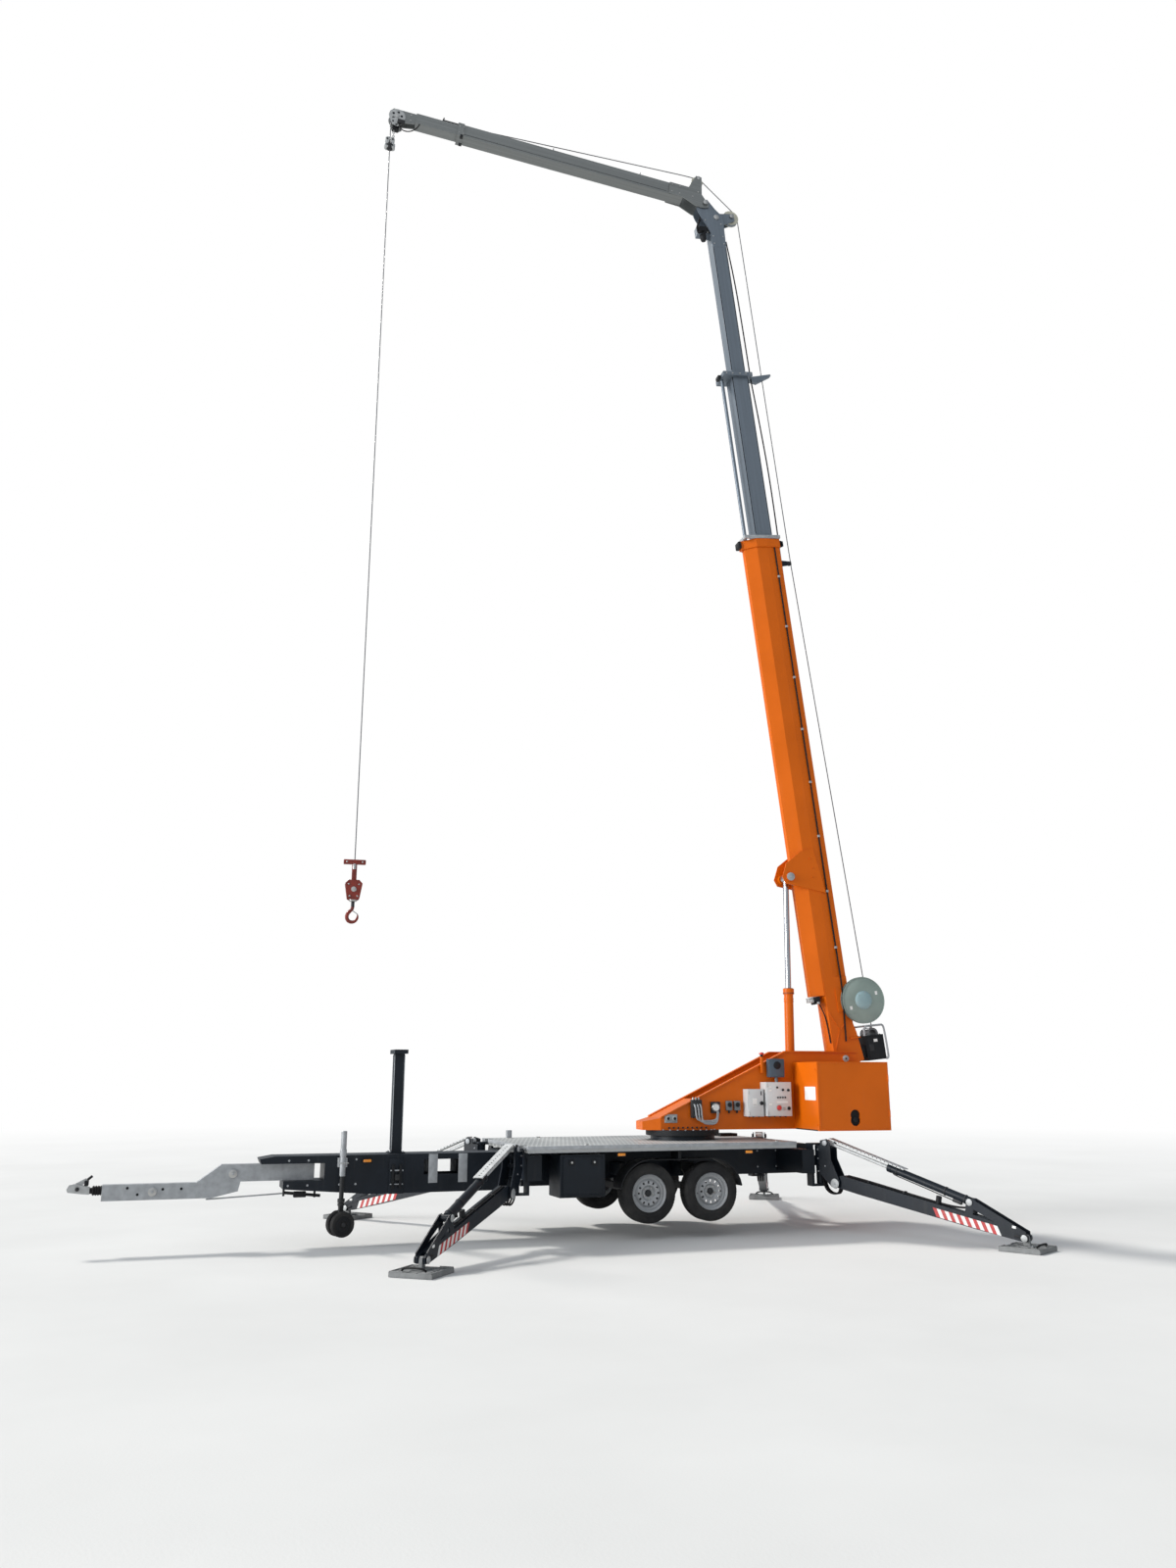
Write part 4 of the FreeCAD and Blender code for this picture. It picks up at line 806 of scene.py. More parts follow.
        fit("drawbar_fittings", "chassis", TRAILER)
        return {"FINISHED"}


class CRANE_OT_jockey(bpy.types.Operator):
    """Jockey wheel clamp with its handle and cap, and the tread and faces of the wheels"""

    bl_idname = "crane.jockey"
    bl_label = "Jockey wheel"

    def execute(self, context):
        x, y = 3.605, 0.290
        turned("zinc", [(0.031, 1.142), (0.031, 1.150), (0.024, 1.156)], (x, y, 0), UP, 24)
        turned("zinc", [(0.034, 0.90), (0.036, 0.91), (0.036, 0.96), (0.034, 0.97)], (x, y, 0), UP, 24)
        bar("steel", (x, y + 0.028, 0.835), (x, y + 0.078, 0.835), 0.010)
        bar("steel", (x - 0.05, y + 0.076, 0.835), (x + 0.05, y + 0.076, 0.835), 0.006)
        for z in (0.80, 0.87):
            bolt("zinc", (x - 0.035, 0.300, z), (0, 1, 0), 0.009)
        fit("jockey_clamp", "chassis", TRAILER)
        grid = axes(at("jockey_wheels_spin"), along("jockey_wheels_spin").cross(UP), along("jockey_wheels_spin"))
        for side in (-1, 1):
            m = side * 0.062
            for h in (-0.014, 0.0, 0.014):
                spun("tyre", [(0.124, h - 0.005), (0.127, h - 0.003), (0.127, h + 0.003), (0.124, h + 0.005)],
                     (0, m, 0), (0, 1, 0), 48)
            spun("plastic", [(0.030, 0.0275), (0.080, 0.0275), (0.084, 0.031), (0.080, 0.033), (0.030, 0.033)],
                 (0, m, 0), (0, side, 0), 40)
            turned("cast", [(0.022, 0.028), (0.022, 0.038), (0.012, 0.042)], (0, m, 0), (0, side, 0), 20)
        fit("jockey_wheel_faces", "jockey_wheels", grid)
        return {"FINISHED"}


class CRANE_OT_outriggers(bpy.types.Operator):
    """Warning stripes, pin heads, hoses, rails and pad ribs of the four outriggers"""

    bl_idname = "crane.outriggers"
    bl_label = "Outrigger fittings"

    def execute(self, context):
        sizes = context.scene.crane_sizes
        for corner in OUTRIGGERS:
            frames = outrigger(corner)
            reach = frames["reach"]
            back = 0.50 if corner.startswith("front") else 0.61
            start, end = (1.03, 1.63) if corner.startswith("front") else (1.24, 1.93)
            # stripes on both sides of the arm, leaning inwards
            n = 2 * round((end - start) / (2 * sizes.stripe))
            for side in (-1, 1):
                for k in range(n):
                    a = start + k * sizes.stripe
                    b = a + sizes.stripe
                    y0, y1 = sorted((side * 0.0521, side * 0.0531))
                    plate("stripe_red" if k % 2 == 0 else "stripe_white",
                          [(a, -0.042), (b, -0.042), (b - 0.055, 0.043), (a - 0.055, 0.043)], y0, y1, 0)
                # pins and their keepers
                turned("casting", [(0.034, 0.067), (0.034, 0.072), (0.024, 0.075)],
                       (reach - back, 0, 0.200), (0, side, 0), 28)
                turned("casting", [(0.034, 0.0655), (0.034, 0.069), (0.022, 0.072)], (reach, 0, 0), (0, side, 0), 28)
                y0, y1 = sorted((side * 0.060, side * 0.0645))
                block("plastic", (reach - 0.10, y0, -0.012), (reach - 0.03, y1, 0.012))
                block("label", (reach - 0.135, y0, 0.068), (reach - 0.095, y1, 0.092), 0)
            bar("plastic", (start - 0.02, 0, 0.080), (start - 0.02, 0, 0.165), 0.030)
            # hydraulic line along the arm
            hose("rubber", [(0.10, 0.030, 0.105), (0.30, 0.034, 0.108), (0.7, 0.034, 0.100), (1.1, 0.034, 0.092),
                            (reach - back - 0.15, 0.034, 0.094), (reach - back - 0.04, 0.030, 0.13)], 0.009)
            hose("rubber", [(0.10, 0.006, 0.105), (0.30, 0.008, 0.108), (0.7, 0.008, 0.100), (1.1, 0.008, 0.092),
                            (reach - back - 0.15, 0.008, 0.094), (reach - back - 0.04, 0.004, 0.13)], 0.009)
            for x in (0.36, 0.80):
                block("plastic", (x, -0.012, 0.080), (x + 0.025, 0.050, 0.113), 0.003)
            fit("arm_fittings_" + corner, "arm_" + corner, frames["arm"])
            # bracket: pin heads, bolts and a loop of hoses
            for side in (-1, 1):
                turned("casting", [(0.052, 0.084), (0.052, 0.088), (0.030, 0.093)], (0.24, 0, 0.535), (0, side, 0), 36)
                turned("zinc", [(0.030, 0.088), (0.030, 0.093), (0.020, 0.096)], (0.13, 0, 0.975), (0, side, 0), 28)
                bolt("zinc", (0.24, side * 0.092, 0.535), (0, side, 0), sizes.bolt)
                for x, z in ((0.03, 0.66), (0.03, 0.80), (0.03, 0.90), (0.12, 0.72)):
                    bolt("zinc", (x, side * 0.0785, z), (0, side, 0), sizes.bolt * 0.8)
            for v in (-0.03, 0.0, 0.03):
                hose("rubber", [(0.045, v, 0.66), (0.060, v, 0.50), (0.130, v, 0.425), (0.215, v, 0.415),
                                (0.262, v, 0.440), (0.268, v, 0.478)], 0.010)
            fit("bracket_fittings_" + corner, "bracket_" + corner, frames["bracket"])
            # cylinder barrel: ports, bands and the blocks of the lock valve
            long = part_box("leg_rod_" + corner)
            full = (at("leg_barrel_hinge_" + corner)
                    - (frames["bracket"] @ Vector((0.13, 0, 0.975)))).length
            barrel = full * 0.56
            for x in (0.07, 0.30, barrel - 0.12):
                spun("cast", [(0.0420, -0.006), (0.0475, -0.006), (0.0475, 0.006), (0.0420, 0.006)],
                     (x, 0, 0), (1, 0, 0), 36)
            block("cast", (0.10, -0.022, 0.036), (0.20, 0.022, 0.072), 0.004)
            bar("cast", (0.15, 0.022, 0.055), (0.15, 0.044, 0.055), 0.010)
            hose("cast", [(0.18, 0, 0.060), (0.26, 0, 0.062), (0.40, 0, 0.056), (barrel - 0.2, 0, 0.053),
                          (barrel - 0.10, 0, 0.053), (barrel - 0.07, 0, 0.045)], 0.006)
            fit("barrel_fittings_" + corner, "leg_barrel_" + corner, frames["cylinder"])
            # rail: punched holes
            begin = full * 0.64 - (0.26 if corner.startswith("front") else 0.35)
            count = int((full - 0.06 - begin) / 0.05)
            for k in range(count):
                x = begin + 0.04 + 0.05 * k
                # flat dark discs on top and on both sides stand for the punched holes: painted shade
                turned("plastic", [(0.0085, 0.0602), (0.0085, 0.0609)], (x, 0, 0), (0, 0, -1), 12)
                for side in (-1, 1):
                    turned("plastic", [(0.0055, 0), (0.0055, 0.0006)], (x, side * 0.0502, -0.053), (0, side, 0), 10)
            fit("rail_hole_shade_" + corner, "leg_rod_" + corner, frames["cylinder"])
            # pad: ribs, bevelled rim, rope loop and ear pin
            for a in (-0.15, -0.05, 0.05, 0.15):
                start = -0.02 if abs(a) < 0.10 else -0.205
                block("pad_plastic", (start, a - 0.006, 0.039), (0.205, a + 0.006, 0.045), 0.002)
                for side in (-1, 1):
                    y0, y1 = sorted((side * 0.075, side * 0.205))
                    block("pad_plastic", (a - 0.006, y0, 0.039), (a + 0.006, y1, 0.045), 0.002)
            for side in (-1, 1):
                y0, y1 = sorted((side * 0.200, side * 0.213))
                block("pad_plastic", (-0.213, y0, 0.038), (0.213, y1, 0.050), 0.003)
                y0, y1 = sorted((side * 0.075, side * 0.213))
                block("pad_plastic", (0.200, y0, 0.038), (0.213, y1, 0.050), 0.003)
                block("pad_plastic", (-0.213, y0, 0.038), (-0.200, y1, 0.050), 0.003)
            hose("rubber", [(0.14, -0.12, 0.050), (0.16, -0.11, 0.074), (0.165, 0, 0.078), (0.16, 0.11, 0.074),
                            (0.14, 0.12, 0.050)], 0.010)
            for y in (-0.055, 0.055):
                bolt("zinc", (0.075, y, 0.052), UP, sizes.bolt)
            fit("pad_fittings_" + corner, "pad_" + corner, frames["pad"])
        return {"FINISHED"}


class CRANE_OT_turret(bpy.types.Operator):
    """Controls, sockets, pipes, bolts, seams and labels of the slewing turret"""

    bl_idname = "crane.turret"
    bl_label = "Turret fittings"

    def execute(self, context):
        size = context.scene.crane_sizes.bolt
        wall = 0.250
        # control panel boxes: doors, knobs, gauges and a red stop button
        for u0, u1, z0, z1, out in ((-0.885, -0.688, 1.262, 1.575, 0.400), (-1.230, -0.910, 1.265, 1.655, 0.430)):
            block("grey_box", (u0 + 0.008, out, z0 + 0.008), (u1 - 0.008, out + 0.006, z1 - 0.008), 0.002)
            for z in (z0 + 0.04, z1 - 0.04):
                bar("steel", (u1 - 0.012, out + 0.006, z - 0.02), (u1 - 0.012, out + 0.006, z + 0.02), 0.005)
        front = 0.436
        for u, z, r, finish in ((-1.048, 1.594, 0.011, "plastic"), (-1.121, 1.566, 0.013, "plastic"),
                                (-1.190, 1.563, 0.015, "plastic"), (-1.053, 1.479, 0.009, "plastic"),
                                (-1.084, 1.479, 0.009, "plastic"), (-1.115, 1.479, 0.009, "plastic"),
                                (-1.147, 1.479, 0.009, "plastic"), (-1.066, 1.360, 0.028, "red_knob"),
                                (-1.131, 1.351, 0.012, "steel"), (-1.190, 1.354, 0.019, "plastic")):
            spun("steel", [(r * 1.05, 0), (r * 1.35, 0), (r * 1.3, 0.003), (r * 1.05, 0.003)],
                 (u, front, z), (0, 1, 0), 20)
            turned(finish, [(r, 0), (r, 0.010), (r * 0.85, 0.016)], (u, front, z), (0, 1, 0), 20)
        for u, z in ((-0.96, 1.60), (-0.96, 1.56), (-0.96, 1.40)):
            block("label", (u - 0.018, front, z - 0.009), (u + 0.018, front + 0.001, z + 0.009), 0)
        block("label", (-1.18, front, 1.415), (-1.04, front + 0.001, 1.435), 0)
        turned("plastic", [(0.022, 0), (0.022, 0.012), (0.016, 0.020)], (-0.857, 0.406, 1.414), (0, 1, 0), 24)
        block("plastic", (-0.861, 0.406, 1.505), (-0.849, 0.412, 1.550), 0.002)
        block("label", (-0.800, 0.406, 1.385), (-0.745, 0.407, 1.470), 0)
        block("hose_grey", (-0.795, 0.407, 1.395), (-0.750, 0.4075, 1.400), 0)
        for u in (-1.19, -1.12, -1.05, -0.98, -0.85, -0.78, -0.73):
            bar("plastic", (u, 0.33, 1.264), (u, 0.33, 1.250), 0.010, 12)
        fit("control_fittings", "turret", TURRET)
        # dark box on a neck, orange post with a red mushroom
        block("blue_box", (-1.182, 0.272, 1.712), (-0.985, 0.372, 1.926), 0.010)
        block("blue_box", (-1.172, 0.372, 1.725), (-0.995, 0.379, 1.915), 0.004)
        turned("plastic", [(0.045, 0), (0.045, 0.006), (0.038, 0.010)], (-1.083, 0.379, 1.85), (0, 1, 0), 32)
        bar("hose_grey", (-1.095, 0.31, 1.715), (-1.098, 0.31, 1.655), 0.020, 20)
        fit("display_box", "turret", TURRET)
        block("paint", (-0.942, 0.272, 1.760), (-0.910, 0.300, 1.952), 0.004)
        bar("plastic", (-0.926, 0.286, 1.950), (-0.926, 0.286, 1.975), 0.018, 20)
        turned("red_knob", [(0.016, 0), (0.030, 0.006), (0.030, 0.018), (0.020, 0.028)], (-0.926, 0.286, 1.974), UP, 24)
        fit("stop_button", "turret", TURRET)
        # sockets, disc plate and the bent pipes in front of them
        for u in (-0.495, -0.595):
            block("hose_grey", (u - 0.036, wall, 1.330), (u + 0.036, wall + 0.05, 1.440), 0.006)
            turned("plastic", [(0.026, 0), (0.026, 0.012), (0.020, 0.016)], (u, wall + 0.05, 1.395), (0, 1, 0), 24)
            bar("plastic", (u, wall + 0.025, 1.332), (u, wall + 0.025, 1.300), 0.012, 14)
        block("zinc", (0.143, wall, 1.194), (0.300, wall + 0.008, 1.290), 0.003)
        for u in (0.180, 0.260):
            turned("steel", [(0.030, 0), (0.030, 0.014), (0.022, 0.018)], (u, wall + 0.008, 1.242), (0, 1, 0), 28)
            turned("plastic", [(0.017, 0), (0.017, 0.006)], (u, wall + 0.024, 1.242), (0, 1, 0), 20)
        for u in (0.155, 0.288):
            for z in (1.205, 1.280):
                bolt("steel", (u, wall + 0.008, z), (0, 1, 0), 0.006)
        block("cast", (-0.145, wall, 1.250), (-0.020, wall + 0.07, 1.455), 0.005)
        for k, u in enumerate((-0.045, -0.080, -0.115)):
            bar("steel", (u, wall + 0.035, 1.450), (u, wall + 0.035, 1.482), 0.011, 14)
            hose("zinc", [(u, wall + 0.072, 1.40), (u, wall + 0.10, 1.40), (u - 0.01, wall + 0.10, 1.33),
                          (u - 0.02, wall + 0.095, 1.235 - 0.018 * k), (u - 0.08, wall + 0.09, 1.215 - 0.018 * k),
                          (u - 0.26 + 0.03 * k, wall + 0.08, 1.215 - 0.018 * k),
                          (u - 0.29 + 0.03 * k, wall + 0.07, 1.27), (u - 0.29 + 0.03 * k, wall + 0.06, 1.32)], 0.010)
        turned("steel", [(0.050, 0), (0.050, 0.045), (0.040, 0.055)], (-0.325, wall, 1.365), (0, 1, 0), 32)
        turned("label", [(0.036, 0.055), (0.036, 0.057)], (-0.325, wall, 1.365), (0, 1, 0), 28)
        block("cast", (-0.385, wall, 1.300), (-0.270, wall + 0.035, 1.430), 0.006)
        fit("pipe_group", "turret", TURRET)
        # bolts of the slewing ring and of the plates
        for k in range(9):
            bolt("cast", (0.245 - 0.057 * k, wall, 1.138), (0, 1, 0), size)
            bolt("cast", (0.245 - 0.057 * k, -wall, 1.138), (0, -1, 0), size)
        for k in range(28):
            a = 2 * pi * k / 28
            bolt("zinc", (0.405 * cos(a), 0.405 * sin(a), 1.112), UP, size)
        for side in (-1, 1):
            turned("casting", [(0.040, 0.262), (0.040, 0.272), (0.030, 0.277)], (-2.04, 0, 1.935), (0, side, 0), 32)
            turned("paint", [(0.044, 0.250), (0.044, 0.262), (0.030, 0.268)], (-1.41, 0, 1.334), (0, side, 0), 32)
            bolt("cast", (-2.04, side * 0.276, 1.935), (0, side, 0), 0.012)
        fit("turret_bolts", "turret", TURRET)
        # cabinets: door gaps, hinges, port collar and label
        for side in (-1, 1):
            face = side * 0.940
            y0, y1 = sorted((face, face + side * 0.003))
            for lo, hi in (((-2.225, 1.128), (-1.353, 1.134)), ((-2.225, 1.866), (-1.353, 1.872)),
                           ((-2.225, 1.128), (-2.219, 1.872)), ((-1.359, 1.128), (-1.353, 1.872))):
                block("paint", (lo[0], y0, lo[1]), (hi[0], y1, hi[1]), 0.001)
            for z in (1.30, 1.70):
                bar("paint", (-2.232, face + side * 0.004, z - 0.04), (-2.232, face + side * 0.004, z + 0.04), 0.008)
            # oval collar and dark plug of the filler port
            ring = []
            for k in range(24):
                a = 2 * pi * k / 24
                z = 0.060 * sin(a) + (0.030 if sin(a) >= 0 else -0.030)
                ring.append((-1.795 + 0.060 * cos(a), 1.256 + z))
            a, b = sorted((side * 0.9105, side * 0.918))
            plate("rubber", ring, a, b, 0)
            turned("plastic", [(0.030, 0.918), (0.030, 0.930), (0.022, 0.934)], (-1.795, 0, 1.235), (0, side, 0), 24)
            a, b = sorted((side * 0.300, side * 0.900))
            block("rubber", (-1.3385, a, 1.112), (-1.330, b, 1.124), 0.002)
            for z in (1.18, 1.80):
                bolt("paint", (-1.338, side * 0.29, z), (1, 0, 0), size)
                bolt("paint", (-1.338, side * 0.90, z), (1, 0, 0), size)
            # grille of the engine bay at the tail
            for k in range(9):
                z = 1.30 + 0.045 * k
                a, b = sorted((side * 0.36, side * 0.84))
                block("plastic", (-2.249, a, z), (-2.240, b, z + 0.022), 0.003)
        block("label", (-1.338, 0.578, 1.452), (-1.3365, 0.877, 1.604), 0)
        fit("cabinet_fittings", "turret", TURRET)
        # hoses in the trough between the side plates
        for k in range(4):
            v = -0.205 + 0.026 * k
            hose("rubber", [(-0.14, v, 1.19), (-0.45, v, 1.19), (-0.9, v, 1.22), (-1.3, v, 1.40),
                            (-1.75, v, 1.58), (-2.05, v, 1.64)], 0.011)
        block("cast", (-0.42, -0.20, 1.132), (-0.14, 0.10, 1.21), 0.008)
        for k in range(5):
            bar("steel", (-0.20 - 0.045 * k, -0.15, 1.21), (-0.20 - 0.045 * k, -0.15, 1.235), 0.012, 14)
        fit("trough_hoses", "turret", TURRET)
        return {"FINISHED"}


class CRANE_OT_boom(bpy.types.Operator):
    """Luffing cylinder, boom foot, winch, cable reel, collars and section fittings"""

    bl_idname = "crane.boom"
    bl_label = "Boom fittings"

    def execute(self, context):
        size = context.scene.crane_sizes.bolt
        # cylinder barrel: head rings, bands and port
        spun("cast", [(0.057, 1.396), (0.0705, 1.396), (0.0705, 1.404), (0.057, 1.404)], (0, 0, 0), (1, 0, 0), 40)
        spun("cast", [(0.040, 1.456), (0.058, 1.456), (0.054, 1.462), (0.040, 1.462)], (0, 0, 0), (1, 0, 0), 40)
        for x in (1.30, 1.33):
            spun("paint", [(0.057, x - 0.008), (0.061, x - 0.008), (0.061, x + 0.008), (0.057, x + 0.008)],
                 (0, 0, 0), (1, 0, 0), 40)
        block("paint", (0.09, -0.020, -0.078), (0.16, 0.020, -0.050), 0.004)
        fit("luff_fittings", "luff_barrel", LUFF)
        # foot of the boom: pin cap, bolts, a hose and clips on the near face
        for side in (-1, 1):
            turned("zinc", [(0.052, 0.160), (0.052, 0.168), (0.036, 0.174)], (2.304, 0, -0.325), (0, side, 0), 32)
            bolt("zinc", (2.304, side * 0.173, -0.325), (0, side, 0), 0.014)
            for s, t in ((2.28, -0.02), (2.40, 0.0), (2.52, -0.02)):
                bolt("paint", (s, side * 0.144, t), (0, side, 0), size)
        hose("rubber", [(0.20, 0.146, 0.10), (0.55, 0.147, 0.13), (0.90, 0.146, 0.158), (1.20, 0.134, 0.160),
                        (2.0, 0.131, 0.160), (3.2, 0.131, 0.160), (4.6, 0.131, 0.160), (6.0, 0.131, 0.160),
                        (6.70, 0.131, 0.160), (6.83, 0.133, 0.160)], 0.0105)
        for k in range(8):
            s = 1.35 + 0.72 * k
            block("zinc", (s, 0.112, 0.144), (s + 0.03, 0.145, 0.176), 0.003)
        fit("boom_hose", "boom_base", BOOM)
        for side in (-1, 1):
            y0, y1 = sorted((side * 0.133, side * 0.141))
            for (s0, t0), (s1, t1) in (((0.345, 0.045), (0.575, -0.070)), ((0.345, 0.045), (0.512, 0.228)),
                                       ((0.090, -0.055), (0.365, 0.045))):
                w = 0.006 / hypot(s1 - s0, t1 - t0)
                ds, dt = (t1 - t0) * w, (s0 - s1) * w
                plate("paint", [(s0 - ds, t0 - dt), (s1 - ds, t1 - dt), (s1 + ds, t1 + dt), (s0 + ds, t0 + dt)], y0, y1)
            y0, y1 = sorted((side * 0.100, side * 0.160))
            block("paint", (0.225, y0, 0.165), (0.240, y1, 0.300), 0.003)
        fit("boom_ribs", "boom_base", BOOM)
        block("casting", (0.715, 0.02, -0.30), (0.775, 0.11, -0.235), 0.005)
        bar("casting", (0.73, 0.09, -0.27), (0.73, 0.15, -0.27), 0.020)
        bar("plastic", (0.70, 0.05, -0.24), (0.70, 0.13, -0.24), 0.014)
        block("plastic", (0.690, 0.00, -0.22), (0.780, 0.12, -0.15), 0.006)
        turned("casting", [(0.018, 0), (0.018, 0.02), (0.010, 0.03)], (0.70, 0.12, -0.19), (0, 1, 0), 20)
        hose("rubber", [(0.70, 0.08, -0.16), (0.62, 0.09, -0.13), (0.50, 0.10, -0.105), (0.35, 0.11, -0.10),
                        (0.20, 0.12, -0.10)], 0.008)
        fit("boom_sensor", "boom_base", BOOM)
        # collar at the head of the base section, with stop block and rollers
        for lo, hi in (((6.962, -0.150, -0.262), (7.008, 0.150, -0.236)), ((6.962, -0.150, 0.236), (7.008, 0.150, 0.262)),
                       ((6.962, -0.150, -0.236), (7.008, -0.118, 0.236)), ((6.962, 0.118, -0.236), (7.008, 0.150, 0.236))):
            block("zinc", lo, hi, 0.003)
        for side in (-1, 1):
            for t in (-0.20, -0.07, 0.07, 0.20):
                bolt("steel", (6.985, side * 0.150, t), (0, side, 0), size)
        block("plastic", (6.86, -0.060, -0.330), (6.95, 0.060, -0.284), 0.006)
        bar("cast", (6.90, -0.09, 0.285), (6.90, 0.09, 0.285), 0.026, 24)
        for side in (-1, 1):
            y0, y1 = sorted((side * 0.078, side * 0.090))
            plate("dark_paint", [(6.84, 0.255), (6.96, 0.255), (6.94, 0.320), (6.87, 0.320)], y0, y1)
        plate("dark_paint", [(6.60, 0.240), (6.70, 0.240), (6.68, 0.44), (6.63, 0.44)], -0.006, 0.006)
        spun("cast", [(0.012, -0.010), (0.030, -0.014), (0.022, 0), (0.030, 0.014), (0.012, 0.010)],
             (6.65, 0.0, 0.405), (0, 1, 0), 28)
        fit("base_collar", "boom_base", BOOM)
        # winch: silver tube frame, motor, window and bolts
        for v in (-0.165, 0.165):
            hose("zinc", [(-0.06, v, 0.60), (-0.06, v, 0.632), (0.0, v, 0.635), (0.15, v, 0.635), (0.30, v, 0.63),
                          (0.352, v, 0.62), (0.356, v, 0.58), (0.356, v, 0.45), (0.352, v, 0.37), (0.30, v, 0.352),
                          (0.24, v, 0.35)], 0.013)
        for s, t in ((0.356, 0.55), (0.356, 0.42), (-0.055, 0.628)):
            bar("zinc", (s, -0.165, t), (s, 0.165, t), 0.012)
        block("plastic", (-0.045, 0.150, 0.385), (0.215, 0.156, 0.590), 0.003)
        block("cast", (0.05, 0.156, 0.40), (0.13, 0.160, 0.46), 0.003)
        block("label", (0.155, 0.156, 0.47), (0.190, 0.158, 0.52), 0)
        turned("cast", [(0.070, 0), (0.070, 0.05), (0.050, 0.07)], (0.09, -0.150, 0.49), (0, -1, 0), 32)
        for s in (0.242, 0.246):
            for v in (-0.12, 0.12):
                bolt("steel", (0.239, v, 0.40), (1, 0, 0), size)
                bolt("steel", (0.239, v, 0.58), (1, 0, 0), size)
        spun("wire", [(0.050, -0.10), (0.075, -0.10), (0.075, 0.10), (0.050, 0.10)], (0.255, 0, 0.50), (0, 1, 0), 40)
        fit("winch_fittings", "boom_base", BOOM)
        # cable reel: hazy discs over wound cable, wide hub cap and paper marks
        c = (0.677, 0, 0.396)
        y = 0.1462
        spun("reel_haze", [(0.060, y), (0.286, y), (0.288, y + 0.002), (0.286, y + 0.004), (0.060, y + 0.004)],
             c, (0, 1, 0), 72)
        spun("reel_haze", [(0.060, y + 0.046), (0.284, y + 0.046), (0.288, y + 0.049), (0.284, y + 0.052),
                           (0.060, y + 0.052)], c, (0, 1, 0), 72)
        for j in range(4):
            z = y + 0.010 + 0.0105 * j
            spun("rubber", [(0.110, z - 0.005), (0.250, z - 0.005), (0.254, z), (0.250, z + 0.005), (0.110, z + 0.005)],
                 c, (0, 1, 0), 72)
        spun("reel_haze", [(0.274, y + 0.051), (0.286, y + 0.051), (0.286, y + 0.056), (0.276, y + 0.056)],
             c, (0, 1, 0), 72)
        turned("hub_blue", [(0.114, y), (0.114, y + 0.055), (0.104, y + 0.066), (0.082, y + 0.074), (0.040, y + 0.078)],
               c, (0, 1, 0), 56)
        for k in range(6):
            a = 2 * pi * k / 6 + 0.3
            bolt("steel", (c[0] + 0.090 * cos(a), y + 0.0700, c[2] + 0.090 * sin(a)), (0, 1, 0), 0.006)
        for a in (1.2, 4.3):
            p, q = c[0] + 0.20 * cos(a), c[2] + 0.20 * sin(a)
            block("label", (p - 0.022, y + 0.0518, q - 0.016), (p + 0.022, y + 0.0528, q + 0.016), 0)
        fit("reel_drum", "boom_base", BOOM, ("cable_reel",))
        # section collars: bolts and a dark seal; the groove lines of the extrusions are dark strips of painted shade
        for t in (-0.17, -0.08, 0.03, 0.12, 0.19):
            for side in (-1, 1):
                bolt("steel", (9.47, side * 0.150, t), (0, side, 0), size)
        for side in (-1, 1):
            y0, y1 = sorted((side * 0.1062, side * 0.1078))
            for t in (-0.072, 0.160):
                block("plastic", (7.05, y0, t - 0.005), (9.43, y1, t + 0.005), 0)
        block("plastic", (9.445, -0.05, -0.262), (9.495, 0.05, -0.218), 0.005)
        fit("section_2_trim", "boom_section_2", BOOM)
        # dark strips along section 3 stand for its grooves: painted shade
        for side in (-1, 1):
            y0, y1 = sorted((side * 0.0852, side * 0.0864))
            for t in (-0.054, 0.142):
                block("plastic", (9.56, y0, t - 0.005), (11.55, y1, t + 0.005), 0)
        fit("section_3_trim", "boom_section_3", BOOM)
        return {"FINISHED"}


